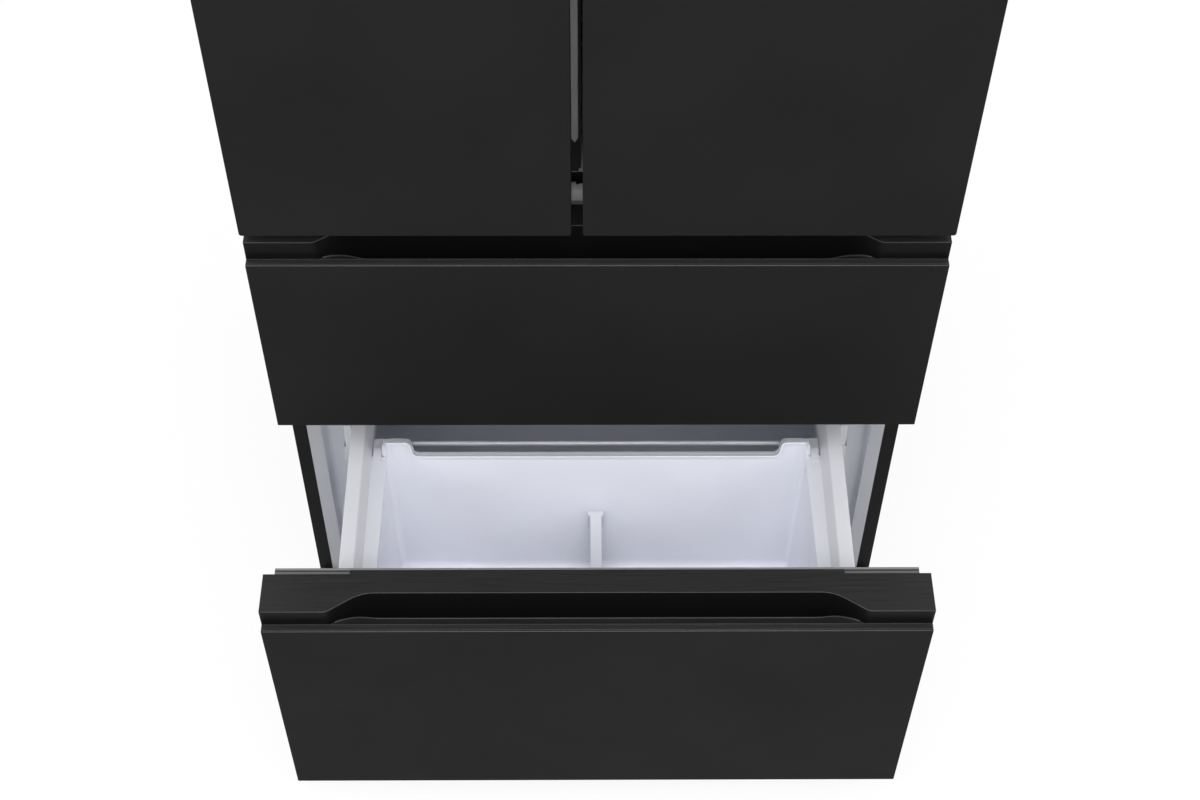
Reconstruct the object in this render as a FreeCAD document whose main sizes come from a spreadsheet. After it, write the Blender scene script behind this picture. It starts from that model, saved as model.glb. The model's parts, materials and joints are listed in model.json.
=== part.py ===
import FreeCAD, Part
import math
import operator
import os
from types import SimpleNamespace

import Sketcher

# Driving sizes in millimetres; heights are measured from the floor, depths from the closed door fronts
sizes = {
    # whole object
    "body_width": 817,
    "case_depth": 640,
    "case_bottom": 30,
    "drawer_out": 279,
    # doors and fronts
    "door_thickness": 63,
    "gasket_gap": 12,
    "gasket_play": 0.3,
    "seat_play": 0.3,
    "gasket_width": 16,
    "gasket_inset": 14,
    "gasket_free_inset": 5,
    "gasket_top_drop": 17,
    "gasket_base": 5,
    "gasket_bulb": 10,
    "front_sheet": 1.2,
    "split_offset": 24,
    "split_gap": 13,
    "door_height": 897,
    "door_wrap": 30,
    "freezer_low": 55,
    "freezer_front_height": 390,
    "drawer_gap": 47,
    "middle_front_height": 304,
    "door_gap": 50,
    "door_corner": 3.5,
    # finger pocket along the drawers' tops
    "ledge_depth": 11,
    "cap_rise": 28,
    "cap_sheet": 3,
    "cap_overhang": 8.5,
    "cap_overhang_sheet": 15,
    "cap_end_overhang": 2.5,
    "cap_groove_depth": 1.5,
    "cap_tongue_inset": 105.5,
    "cap_trim": 3,
    "cap_trim_drop": 0.6,
    "trough_depth": 30,
    "pocket_back": 38,
    "pocket_mouth_inset": 80.5,
    "pocket_back_inset": 122,
    "pocket_mouth_bend": 13,
    "pocket_back_bend": 52,
    # cabinet walls
    "shell_sheet": 1,
    "liner_sheet": 2,
    "base_sheet": 2,
    "flange_width": 18.7,
    "throat_margin": 37.5,
    "throat_depth": 30,
    "side_wall": 52,
    "drawer_wall": 61.5,
    "top_wall": 56,
    "back_wall": 70,
    "freezer_sill": 21,
    "freezer_head": 7,
    "middle_sill": 18,
    "middle_head": 20,
    "fridge_sill": 30,
    "machine_depth": 225,
    "machine_height": 236,
    "machine_wall": 40,
    "kick_low": 8,
    "kick_drop": 11,
    "kick_soft": 3,
    "kick_sheet": 8,
    "kick_inset": 6,
    # hinges
    "hinge_inset": 20.5,
    "hinge_back": 45,
    "hinge_radius": 5,
    "hinge_play": 0.05,
    "hinge_plate": 4,
    "hinge_arm": 18,
    "hinge_plate_length": 90,
    "hinge_engage": 22,
    "hinge_clear": 3,
    "hinge_washer_radius": 9,
    "bracket_drop": 14,
    "cover_height": 33,
    "cover_sheet": 2,
    "cover_width": 66,
    "cover_reach": 115,
    "cover_margin": 6,
    # inner faces of the French doors
    "dyke_depth": 37,
    "dyke_wall": 14,
    "dyke_hinge_inset": 64,
    "dyke_free_inset": 64,
    "dyke_low_inset": 40,
    "dyke_high_inset": 63,
    "door_bin_reach": 112,
    "door_bin_height": 105,
    "door_bin_wall": 3,
    "door_bin_play": 1,
    "door_bin_low_rise": 65,
    "door_bin_high_rise": 450,
    # sealing flap on the left door
    "flap_gap": 5,
    "flap_width": 61.5,
    "flap_thickness": 16,
    "flap_low_rise": 81,
    "flap_high_drop": 81,
    "flap_pin_inset": 8,
    "flap_pin_radius": 3,
    "flap_pin_length": 10,
    "flap_lug": 12,
    "flap_lug_play": 1,
    "flap_rib_width": 8,
    "flap_rib_depth": 7,
    "flap_rib_point": 7,
    "catch_half_width": 20,
    "catch_depth": 4,
    "catch_low_drop": 21,
    "catch_height": 34,
    # telescopic slides
    "rail_height": 28,
    "rail_sheet": 2,
    "rail_clear": 0.4,
    "rail_setback": 10,
    "rail_tab_setback": 6,
    "rail_tab_length": 60,
    "rail_tab_height": 30,
    "freezer_rail_length": 350,
    "freezer_mid_length": 330,
    "middle_rail_length": 440,
    "middle_mid_length": 420,
    # drawer frames and bins
    "frame_drop": 44,
    "frame_margin": 19,
    "frame_width": 19,
    "frame_height": 101,
    "frame_web": 16,
    "frame_lean": 10,
    "frame_lean_drop": 13,
    "bin_ledge_width": 44.8,
    "bin_ledge_drop": 17,
    "bin_ledge_sheet": 12,
    "freezer_frame_length": 330,
    "freezer_bin_length": 269,
    "middle_frame_length": 440,
    "middle_bin_length": 440,
    "cross_bar_radius": 3.5,
    "cross_bar_drop": 23,
    "cross_bar_gap": 4,
    "bin_play": 0.3,
    "bin_wall": 3,
    "bin_taper": 15,
    "bin_corner": 9,
    "bin_front_play": 3,
    "bin_rear_play": 11,
    "bin_rim": 4,
    "bin_ear_rise": 24,
    "bin_ear_depth": 16,
    "bin_notch_drop": 10,
    "bin_notch_margin": 47.2,
    "bin_notch_slope": 18,
    "freezer_bin_depth": 258,
    "middle_bin_depth": 205,
    "divider_width": 16,
    "divider_height": 133,
    "divider_play": 0.3,
    "divider_end_width": 22,
    "divider_end_depth": 8,
    "divider_end_height": 30,
    # fresh-food compartment
    "shelf_glass": 5,
    "shelf_play": 1,
    "shelf_rib": 8,
    "shelf_rib_height": 10,
    "shelf_front": 140,
    "shelf_back": 25,
    "lower_shelf_rise": 255,
    "upper_shelf_rise": 525,
    "duct_half": 110,
    "duct_depth": 22,
    "duct_rise": 60,
    "duct_high_drop": 64,
    "duct_wall": 3,
    "duct_slot_half": 70,
    "duct_slot_height": 12,
    "duct_slot_offset": 90,
    "lens_half": 120,
    "lens_depth": 60,
    "lens_height": 8,
    "lens_setback": 190,
    # cold-air unit behind the freezer
    "evaporator_space": 95,
    "evaporator_margin": 47,
    "evaporator_depth": 52,
    "evaporator_height": 122,
    "evaporator_setback": 32,
    "fin_sheet": 1,
    "fin_step": 20,
    "tube_radius": 4,
    "tube_spread": 60,
    "cover_plate": 4,
    "cover_play": 1.5,
    # fans
    "fan_tip": 54,
    "fan_hub_radius": 20,
    "fan_depth": 16,
    "fan_bore_radius": 2.5,
    "fan_hole": 58,
    "fan_blade_sheet": 2.5,
    "fan_blade_lean": 12,
    "fan_play": 0.05,
    "fan_gap": 3,
    "motor_radius": 16,
    "motor_depth": 14,
    "spoke_width": 8,
    # machine compartment
    "shroud_plate": 4,
    "shroud_height": 200,
    "shroud_margin": 10,
    "shroud_offset": 20,
    "compressor_radius": 72,
    "compressor_height": 150,
    "compressor_dome": 45,
    "compressor_foot": 12,
    "compressor_foot_half": 92,
    "compressor_inset": 178.5,
    "coil_radius": 4,
    "coil_pitch": 26,
    "coil_run": 200,
    "pan_wall": 3,
    "pan_height": 22,
    "pan_half_width": 120,
    "pan_half_depth": 90,
    "pan_inset": 203.5,
    "pan_rib": 8,
    "vent_width": 120,
    "vent_height": 6,
    "vent_step": 16,
    "vent_rise": 60,
    "vent_inset": 208.5,
    "inlet_width": 30,
    "inlet_height": 22,
    "inlet_depth": 26,
    "inlet_play": 0.3,
    "inlet_wall": 3,
    "inlet_socket": 15,
    "inlet_blade": 2,
    "inlet_blade_step": 7,
    "inlet_inset": 108.5,
    "inlet_rise": 200,
    # feet and rollers
    "foot_inset": 78.5,
    "foot_setback": 40,
    "foot_radius": 18,
    "foot_pad": 7,
    "foot_stem": 6,
    "foot_nut": 12,
    "foot_nut_height": 14,
    "foot_play": 0.05,
    "roller_setback": 60,
    "roller_radius": 13,
    "roller_width": 22,
    "roller_axle": 4,
    "roller_play": 0.05,
    "roller_side_play": 0.5,
    "roller_lug": 3,
    "roller_lug_low": 5,
    "roller_lug_half": 11,
    # spare length of a cutting shape past the face that it opens
    "cut_past": 5,
}
duct_slots = 4
vent_rows = 6
fan_blades = 5
coil_runs = 6

doc = FreeCAD.newDocument("refrigerator")
sheet = doc.addObject("Spreadsheet::Sheet", "sizes")
for row, (alias, value) in enumerate(sizes.items(), start=1):
    sheet.set(f"A{row}", alias)
    sheet.set(f"B{row}", str(value))
    sheet.setAlias(f"B{row}", alias)
doc.recompute()

operations = {"+": operator.add, "-": operator.sub, "*": operator.mul, "/": operator.truediv}


class Size:
    # a sheet value, or values added, multiplied and so on, with its number and its sheet expression

    def __init__(self, number, text):
        self.number = number
        self.text = text

    def __add__(self, other):
        return joined(self, "+", other)

    def __radd__(self, other):
        return joined(other, "+", self)

    def __sub__(self, other):
        return joined(self, "-", other)

    def __rsub__(self, other):
        return joined(other, "-", self)

    def __mul__(self, other):
        return joined(self, "*", other)

    def __rmul__(self, other):
        return joined(other, "*", self)

    def __truediv__(self, other):
        return joined(self, "/", other)

    def __neg__(self):
        return joined(0, "-", self)


def as_size(value):
    if isinstance(value, Size):
        return value
    return Size(value, str(value))


def joined(left, sign, right):
    left = as_size(left)
    right = as_size(right)
    return Size(operations[sign](left.number, right.number), f"({left.text} {sign} {right.text})")


def slant(run, rise):
    squares = run * run + rise * rise
    return Size(math.sqrt(squares.number), f"sqrt({squares.text})")


s = SimpleNamespace(**{alias: Size(value, f"sizes.{alias}") for alias, value in sizes.items()})
nodes = []


def node(item):
    nodes.append(item)
    return item


def bind(item, prop, value):
    item.setExpression(prop, as_size(value).text)


def place(item, x, y, z):
    for axis, value in zip("xyz", (x, y, z)):
        bind(item, f".Placement.Base.{axis}", value)


# Solids and booleans


def box(name, x, y, z):
    item = doc.addObject("Part::Box", name)
    for prop, span in zip(("Length", "Width", "Height"), (x, y, z)):
        bind(item, prop, span[1] - span[0])
    place(item, x[0], y[0], z[0])
    return item


turned = {
    "x": FreeCAD.Rotation(FreeCAD.Vector(0, 1, 0), 90),
    "y": FreeCAD.Rotation(FreeCAD.Vector(1, 0, 0), -90),
    "z": FreeCAD.Rotation(),
}


def cylinder(name, axis, start, length, radius):
    item = doc.addObject("Part::Cylinder", name)
    bind(item, "Radius", radius)
    bind(item, "Height", length)
    item.Placement.Rotation = turned[axis]
    place(item, *start)
    return item


def fuse(name, *pieces):
    item = doc.addObject("Part::MultiFuse", name)
    item.Shapes = list(pieces)
    return item


def cut(name, base, *tools):
    item = doc.addObject("Part::Cut", name)
    item.Base = base
    item.Tool = tools[0] if len(tools) == 1 else fuse(f"{name}_tools", *tools)
    return item


def group(name, *pieces):
    item = doc.addObject("Part::Compound", name)
    item.Links = list(pieces)
    return item


def rounded(name, base, radius, chosen):
    doc.recompute()
    item = doc.addObject("Part::Fillet", name)
    item.Base = base
    numbered = enumerate(base.Shape.Edges, start=1)
    item.Edges = [(index, radius.number, radius.number) for index, edge in numbered if chosen(edge)]
    return item


def both(reach):
    return -reach, reach


def about(middle, reach):
    return middle - reach, middle + reach


def span(start, length):
    return start, start + length


def sided(side, near, far):
    return (near, far) if side > 0 else (-far, -near)


# Sketched bodies


def plane(host, role):
    return next(item for item in host.Origin.OriginFeatures if item.Role == role)


def arc_between(start, end, radius, turn):
    chord = end - start
    across = FreeCAD.Vector(-chord.y, chord.x, 0).normalize()
    rise = math.sqrt(max(radius**2 - (chord.Length / 2) ** 2, 0))
    centre = (start + end) / 2 + across * (rise * turn)
    first, last = (start, end) if turn > 0 else (end, start)
    angles = [math.atan2(point.y - centre.y, point.x - centre.x) for point in (first, last)]
    return Part.ArcOfCircle(Part.Circle(centre, FreeCAD.Vector(0, 0, 1), radius), *angles)


# A corner is (u, v), or (u, v, radius, turn) where an arc leads to the next corner
def sketch(host, name, role, loops, offset=0):
    drawing = host.newObject("Sketcher::SketchObject", name)
    drawing.AttachmentSupport = [(plane(host, role), "")]
    drawing.MapMode = "FlatFace"
    bind(drawing, ".AttachmentOffset.Base.z", offset)
    rules = []
    driven = []
    for corners in loops:
        first = drawing.GeometryCount
        ends = []
        points = [FreeCAD.Vector(as_size(c[0]).number, as_size(c[1]).number, 0) for c in corners]
        for index, corner in enumerate(corners):
            start = points[index]
            end = points[(index + 1) % len(points)]
            geo = first + index
            if len(corner) == 2:
                drawing.addGeometry(Part.LineSegment(start, end), False)
                ends.append((1, 2))
            else:
                radius, turn = corner[2], corner[3]
                drawing.addGeometry(arc_between(start, end, radius.number, turn), False)
                ends.append((1, 2) if turn > 0 else (2, 1))
                driven.append((len(rules), radius))
                rules.append(Sketcher.Constraint("Radius", geo, radius.number))
        for index, corner in enumerate(corners):
            geo = first + index
            after = (index + 1) % len(corners)
            meeting = (geo, ends[index][1], first + after, ends[after][0])
            rules.append(Sketcher.Constraint("Coincident", *meeting))
            for kind, axis, value in (("DistanceX", -2, corner[0]), ("DistanceY", -1, corner[1])):
                value = as_size(value)
                if abs(value.number) < 1e-9:
                    rules.append(Sketcher.Constraint("PointOnObject", geo, ends[index][0], axis))
                else:
                    driven.append((len(rules), value))
                    rules.append(Sketcher.Constraint(kind, -1, 1, geo, ends[index][0], value.number))
    drawing.addConstraint(rules)
    for index, value in driven:
        bind(drawing, f"Constraints[{index}]", value)
    return drawing


def rectangle(u, v):
    return [(u[0], v[0]), (u[1], v[0]), (u[1], v[1]), (u[0], v[1])]


def rounded_rectangle(u, v, r):
    return [
        (u[0] + r, v[0]),
        (u[1] - r, v[0], r, 1),
        (u[1], v[0] + r),
        (u[1], v[1] - r, r, 1),
        (u[1] - r, v[1]),
        (u[0] + r, v[1], r, 1),
        (u[0], v[1] - r),
        (u[0], v[0] + r, r, 1),
    ]


def feature(host, kind, name, drawing, length=None, backwards=False):
    item = host.newObject(f"PartDesign::{kind}", name)
    item.Profile = drawing
    if length is not None:
        bind(item, "Length", length)
    item.Reversed = backwards
    return item


def prism_y(name, loops, start, length):
    host = doc.addObject("PartDesign::Body", name)
    drawing = sketch(host, f"{name}_outline", "XZ_Plane", loops, -start)
    feature(host, "Pad", f"{name}_pad", drawing, length, True)
    return host


def loft(name, low_loop, low, high_loop, high):
    host = doc.addObject("PartDesign::Body", name)
    bottom = sketch(host, f"{name}_bottom", "XY_Plane", [low_loop], low)
    top = sketch(host, f"{name}_top", "XY_Plane", [high_loop], high)
    item = host.newObject("PartDesign::AdditiveLoft", f"{name}_loft")
    item.Profile = bottom
    item.Sections = [top]
    return host


def turned_body(name, loop):
    host = doc.addObject("PartDesign::Body", name)
    drawing = sketch(host, f"{name}_profile", "XZ_Plane", [loop])
    item = host.newObject("PartDesign::Revolution", f"{name}_turn")
    item.Profile = drawing
    item.ReferenceAxis = (drawing, ["V_Axis"])
    item.Angle = 360
    return host


# Shared planes: the photo pose has the freezer drawer out, and the origin is under the middle of all of it
half = s.body_width / 2
front_y = (s.drawer_out - s.case_depth - s.door_thickness - s.gasket_gap) / 2
case_y = front_y + s.door_thickness + s.gasket_gap
back_y = case_y + s.case_depth
freezer_y = front_y - s.drawer_out
freezer_high = s.freezer_low + s.freezer_front_height
middle_low = freezer_high + s.drawer_gap
middle_high = middle_low + s.middle_front_height
door_low = middle_high + s.door_gap
door_high = door_low + s.door_height
case_top = door_high + s.hinge_clear
inner_half = half - s.side_wall
drawer_half = half - s.drawer_wall
throat_half = half - s.throat_margin
flange_half = half - s.flange_width
shell_half = half - s.shell_sheet
frame_half = drawer_half - s.frame_margin
bin_half = frame_half - s.bin_ledge_width
foot_x = half - s.foot_inset
pan_x = half - s.pan_inset
base_top = s.case_bottom + s.base_sheet
freezer_floor = s.freezer_low + s.freezer_sill
freezer_ceiling = freezer_high + s.freezer_head
middle_floor = middle_low + s.middle_sill
middle_ceiling = middle_high + s.middle_head
fridge_floor = door_low + s.fridge_sill
fridge_ceiling = case_top - s.top_wall
room_depth = s.case_depth - s.back_wall
freezer_depth = s.case_depth - s.machine_depth - s.machine_wall
machine_y = back_y - s.machine_depth
machine_top = base_top + s.machine_height
unit_floor = machine_top + s.machine_wall
hinge_x = half - s.hinge_inset
hinge_y = front_y + s.hinge_back
left_door_x = (-half, -s.split_offset - s.split_gap / 2)
right_door_x = (s.split_gap / 2 - s.split_offset, half)
door_z = (door_low, door_high)


def hinge_hole(name, side, low, length):
    return cylinder(name, "z", (side * hinge_x, hinge_y, low), length, s.hinge_radius + s.hinge_play)


# Cabinet: painted wrap with a turned-in front flange, back sheet and base
def cabinet_shell():
    wrap = box("shell_wrap", both(half), (case_y, back_y), (s.case_bottom, case_top))
    hollow = box(
        "shell_hollow",
        both(shell_half),
        (case_y + s.shell_sheet, back_y + s.cut_past),
        (s.case_bottom - s.cut_past, case_top - s.shell_sheet),
    )
    mouth = box(
        "shell_mouth",
        both(flange_half),
        (case_y - s.cut_past, back_y),
        (s.case_bottom - s.cut_past, case_top - s.flange_width),
    )
    node(cut("cabinet_shell", wrap, hollow, mouth))


def back_panel():
    rear = (back_y - s.shell_sheet, back_y)
    node(box("back_panel", both(shell_half), rear, (machine_top, case_top - s.shell_sheet)))


def liner(name, room_half, floor, ceiling, depth, flange_z, extra=None):
    t = s.liner_sheet
    throat = box(
        f"{name}_throat",
        both(throat_half + t),
        (case_y, case_y + s.throat_depth + t),
        (floor - t, ceiling + t),
    )
    tub = box(f"{name}_tub", both(room_half + t), (case_y, case_y + depth + t), (floor - t, ceiling + t))
    blanks = [throat, tub]
    mouth_y = case_y - s.cut_past
    hollows = [
        box(f"{name}_mouth", both(throat_half), (mouth_y, case_y + s.throat_depth), (floor, ceiling)),
        box(f"{name}_room", both(room_half), (mouth_y, case_y + depth), (floor, ceiling)),
    ]
    if extra:
        low, deep = extra
        unit_y = (case_y, case_y + deep + t)
        blanks.append(box(f"{name}_unit", both(room_half + t), unit_y, (low - t, ceiling + t)))
        hollows.append(box(f"{name}_unit_room", both(room_half), (mouth_y, case_y + deep), (low, ceiling)))
    solid = fuse(f"{name}_blank", *blanks)
    flange = box(f"{name}_flange", both(flange_half), (case_y, case_y + t), flange_z)
    return solid, cut(f"{name}_pan", fuse(f"{name}_flanged", solid, flange), *hollows)


def shelf_ribs():
    ribs = []
    for label, rise in (("lower", s.lower_shelf_rise), ("upper", s.upper_shelf_rise)):
        top = fridge_floor + rise
        for side in (-1, 1):
            x = sided(side, inner_half - s.shelf_rib, inner_half + s.liner_sheet)
            y = (case_y + s.shelf_front, case_y + room_depth - s.shelf_back)
            ribs.append(box(f"{label}_rib_{side + 1}", x, y, (top - s.shelf_rib_height, top)))
    return ribs


def liners_and_foam():
    t = s.liner_sheet
    fridge_flange = (fridge_floor - t, case_top - s.flange_width)
    fridge_solid, fridge_pan = liner(
        "fridge", inner_half, fridge_floor, fridge_ceiling, room_depth, fridge_flange
    )
    node(fuse("fridge_liner", fridge_pan, *shelf_ribs()))
    middle_flange = (middle_floor - t, middle_ceiling + t)
    middle_solid, middle_pan = liner(
        "middle", drawer_half, middle_floor, middle_ceiling, room_depth, middle_flange
    )
    middle_pan.Label = "middle_liner"
    node(middle_pan)
    freezer_flange = (base_top, freezer_ceiling + t)
    unit = (unit_floor, room_depth)
    freezer_solid, freezer_pan = liner(
        "freezer", drawer_half, freezer_floor, freezer_ceiling, freezer_depth, freezer_flange, unit
    )
    freezer_pan.Label = "freezer_liner"
    node(freezer_pan)
    block = box(
        "foam_block",
        both(shell_half),
        (case_y + t, back_y - s.shell_sheet),
        (base_top, case_top - s.shell_sheet),
    )
    machine = box("foam_machine", both(half), (machine_y, back_y), (base_top - s.cut_past, machine_top))
    node(cut("cabinet_foam", block, fridge_solid, middle_solid, freezer_solid, machine))


def crossbars():
    t = s.liner_sheet
    bar_y = (case_y, case_y + t)
    upper = box("upper_bar", both(flange_half), bar_y, (middle_ceiling + t, fridge_floor - t))
    gap_x = (left_door_x[1] + right_door_x[0]) / 2
    catch_low = door_low - s.catch_low_drop
    catch = box(
        "flap_catch",
        (gap_x - s.catch_half_width, gap_x + s.catch_half_width),
        (case_y - s.catch_depth, case_y),
        (catch_low, catch_low + s.catch_height),
    )
    node(fuse("upper_crossbar", upper, catch))
    node(box("lower_crossbar", both(flange_half), bar_y, (freezer_ceiling + t, middle_floor - t)))


def kick_plate():
    y = (case_y - s.kick_sheet, case_y)
    plate = box("kick_blank", both(half - s.kick_inset), y, (s.kick_low, s.freezer_low - s.kick_drop))
    node(rounded("kick_plate", plate, s.kick_soft, lambda edge: edge.BoundBox.YMax < case_y.number - 1))


def base_pan():
    pan_y = (case_y + s.liner_sheet, back_y - s.base_sheet)
    pieces = [box("base_plate", both(shell_half), pan_y, (s.case_bottom, base_top))]
    holes = []
    foot_y = case_y + s.foot_setback
    roller_y = back_y - s.roller_setback
    for side in (-1, 1):
        nut_low = s.case_bottom - s.foot_nut_height
        nut_at = (side * foot_x, foot_y, nut_low)
        pieces.append(cylinder(f"nut_{side + 1}", "z", nut_at, s.foot_nut_height, s.foot_nut))
        bore_at = (side * foot_x, foot_y, nut_low - s.cut_past)
        bore_length = s.foot_nut_height + s.cut_past
        holes.append(cylinder(f"nut_bore_{side + 1}", "z", bore_at, bore_length, s.foot_stem + s.foot_play))
        inside = s.roller_width / 2 + s.roller_side_play
        for wing in (-1, 1):
            near = side * foot_x + wing * inside
            lug_x = (near, near + s.roller_lug) if wing > 0 else (near - s.roller_lug, near)
            lug_y = (roller_y - s.roller_lug_half, roller_y + s.roller_lug_half)
            pieces.append(box(f"lug_{side + 1}_{wing + 1}", lug_x, lug_y, (s.roller_lug_low, s.case_bottom)))
        axle_x = side * foot_x - inside - s.roller_lug
        axle_length = 2 * (inside + s.roller_lug)
        pieces.append(
            cylinder(f"axle_{side + 1}", "x", (axle_x, roller_y, s.roller_radius), axle_length, s.roller_axle)
        )
    node(cut("base_pan", fuse("base_whole", *pieces), *holes))


def feet_and_rollers():
    foot_y = case_y + s.foot_setback
    roller_y = back_y - s.roller_setback
    stem_top = s.case_bottom - s.seat_play
    for side, word in ((-1, "left"), (1, "right")):
        profile = [
            (0, 0),
            (s.foot_radius - s.foot_play, 0),
            (s.foot_radius, s.foot_pad / 2),
            (s.foot_stem * 2, s.foot_pad),
            (s.foot_stem, s.foot_pad),
            (s.foot_stem, stem_top),
            (0, stem_top),
        ]
        foot = turned_body(f"front_foot_{word}", profile)
        place(foot, side * foot_x, foot_y, 0)
        node(foot)
        start = side * foot_x - s.roller_width / 2
        wheel_at = (start, roller_y, s.roller_radius)
        wheel = cylinder(f"roller_wheel_{word}", "x", wheel_at, s.roller_width, s.roller_radius)
        bore = cylinder(
            f"roller_bore_{word}",
            "x",
            (start - s.cut_past, roller_y, s.roller_radius),
            s.roller_width + 2 * s.cut_past,
            s.roller_axle + s.roller_play,
        )
        node(cut(f"rear_roller_{word}", wheel, bore))


def top_hinges():
    plates = []
    covers = []
    plate_z = (case_top, case_top + s.hinge_plate)
    for side in (-1, 1):
        arm = box(
            f"hinge_arm_{side + 1}",
            sided(side, hinge_x - s.hinge_arm, hinge_x + s.hinge_arm),
            (hinge_y - s.hinge_arm, case_y + s.hinge_plate_length),
            plate_z,
        )
        pin_low = door_high - s.hinge_engage + s.hinge_plate
        pin_length = case_top - pin_low + s.hinge_plate
        pin_at = (side * hinge_x, hinge_y, pin_low)
        pin = cylinder(f"hinge_pin_{side + 1}", "z", pin_at, pin_length, s.hinge_radius)
        plates.append(fuse(f"top_hinge_{side + 1}", arm, pin))
        outer_x = sided(side, half - s.cover_width, half)
        cover_y = (hinge_y - s.hinge_arm - s.cover_margin, case_y + s.cover_reach)
        cover = box(f"cover_blank_{side + 1}", outer_x, cover_y, (case_top, case_top + s.cover_height))
        soft = rounded(
            f"cover_soft_{side + 1}",
            cover,
            s.cover_margin,
            lambda edge: edge.BoundBox.ZMin > case_top.number + 1 or edge.BoundBox.ZLength > 1,
        )
        t = s.cover_sheet
        hollow_x = sided(side, half - s.cover_width + t, half - t)
        hollow = box(
            f"cover_hollow_{side + 1}",
            hollow_x,
            (cover_y[0] + t, cover_y[1] - t),
            (case_top - s.cut_past, case_top + s.cover_height - t * 3),
        )
        covers.append(cut(f"hinge_cover_{side + 1}", soft, hollow))
    node(group("top_hinges", *plates))
    node(group("hinge_covers", *covers))


def centre_hinges():
    brackets = []
    arm_low = door_low - s.bracket_drop
    arm_top = arm_low + s.hinge_plate
    for side in (-1, 1):
        arm_x = sided(side, hinge_x - s.hinge_arm, hinge_x + s.hinge_arm)
        arm = box(f"bracket_arm_{side + 1}", arm_x, (hinge_y - s.hinge_arm, case_y), (arm_low, arm_top))
        tail_low = middle_high + s.cap_rise + s.seat_play
        tail = box(f"bracket_tail_{side + 1}", arm_x, (case_y - s.hinge_plate, case_y), (tail_low, arm_top))
        pin_at = (side * hinge_x, hinge_y, arm_low)
        pin_length = s.bracket_drop + s.hinge_engage - s.hinge_plate
        pin = cylinder(f"bracket_pin_{side + 1}", "z", pin_at, pin_length, s.hinge_radius)
        washer_at = (side * hinge_x, hinge_y, arm_top)
        washer_length = door_low - arm_top - s.seat_play
        washer = cylinder(f"bracket_washer_{side + 1}", "z", washer_at, washer_length, s.hinge_washer_radius)
        brackets.append(fuse(f"centre_hinge_{side + 1}", arm, tail, pin, washer))
    node(group("centre_hinges", *brackets))


# French doors
def door(word, side, x):
    y = (front_y, front_y + s.door_thickness)
    k = s.front_sheet
    outer = box(f"{word}_skin_blank", x, (y[0], y[0] + s.door_wrap), door_z)
    soft = rounded(
        f"{word}_skin_soft",
        outer,
        s.door_corner,
        lambda edge: edge.BoundBox.YLength > 1,
    )
    inside = box(
        f"{word}_skin_inside",
        (x[0] + k, x[1] - k),
        (y[0] + k, y[0] + s.door_wrap + s.cut_past),
        (door_low + k, door_high - k),
    )
    soft_inside = rounded(
        f"{word}_skin_soft_inside", inside, s.door_corner - k, lambda edge: edge.BoundBox.YLength > 1
    )
    node(cut(f"{word}_door_skin", soft, soft_inside))

    core = box(
        f"{word}_core",
        (x[0] + k, x[1] - k),
        (y[0] + k, y[0] + s.door_wrap),
        (door_low + k, door_high - k),
    )
    soft_core = rounded(
        f"{word}_soft_core", core, s.door_corner - k, lambda edge: edge.BoundBox.YLength > 1
    )
    back = box(f"{word}_back", x, (y[0] + s.door_wrap, y[1]), door_z)
    soft_back = rounded(f"{word}_soft_back", back, s.door_corner, lambda edge: edge.BoundBox.YLength > 1)
    hinge_edge = s.dyke_hinge_inset
    free_edge = s.dyke_free_inset
    insets = (hinge_edge, free_edge) if side < 0 else (free_edge, hinge_edge)
    dyke_x = (x[0] + insets[0], x[1] - insets[1])
    dyke_z = (door_low + s.dyke_low_inset, door_high - s.dyke_high_inset)
    dyke_y = (y[1], y[1] + s.dyke_depth)
    w = s.dyke_wall
    ring = cut(
        f"{word}_dyke",
        box(f"{word}_dyke_blank", dyke_x, dyke_y, dyke_z),
        box(
            f"{word}_dyke_hollow",
            (dyke_x[0] + w, dyke_x[1] - w),
            (y[1] - s.cut_past, dyke_y[1] + s.cut_past),
            (dyke_z[0] + w, dyke_z[1] - w),
        ),
    )
    pieces = [soft_core, soft_back, ring]
    holes = [
        hinge_hole(f"{word}_low_bore", side, door_low - s.cut_past, s.hinge_engage + s.cut_past),
        hinge_hole(f"{word}_high_bore", side, door_high - s.hinge_engage, s.hinge_engage + s.cut_past),
    ]
    if side < 0:
        lugs, bores = flap_lugs()
        pieces += lugs
        holes += bores
    node(cut(f"{word}_door_liner", fuse(f"{word}_panel", *pieces), *holes))

    seal = (s.gasket_inset, s.gasket_free_inset) if side < 0 else (s.gasket_free_inset, s.gasket_inset)
    seal_x = (x[0] + seal[0], x[1] - seal[1])
    seal_z = (door_low + s.gasket_inset, door_high - s.gasket_inset)
    gasket(f"{word}_door_gasket", seal_x, seal_z, y[1])

    p = s.door_bin_play
    bin_x = (dyke_x[0] + w + p, dyke_x[1] - w - p)
    for level, rise in (("lower", s.door_bin_low_rise), ("upper", s.door_bin_high_rise)):
        door_bin(f"{word}_door_bin_{level}", bin_x, y[1], door_low + rise)


def gasket(name, x, z, start):
    g = s.gasket_width
    inset = (g - s.gasket_bulb) / 2
    base = prism_y(
        f"{name}_base",
        [rectangle(x, z), rectangle((x[0] + g, x[1] - g), (z[0] + g, z[1] - g))],
        start,
        s.gasket_base,
    )
    far = g - inset
    bulb = prism_y(
        f"{name}_bulb",
        [
            rectangle((x[0] + inset, x[1] - inset), (z[0] + inset, z[1] - inset)),
            rectangle((x[0] + far, x[1] - far), (z[0] + far, z[1] - far)),
        ],
        start + s.gasket_base,
        s.gasket_gap - s.gasket_base - s.gasket_play,
    )
    node(fuse(name, base, bulb))


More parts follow.
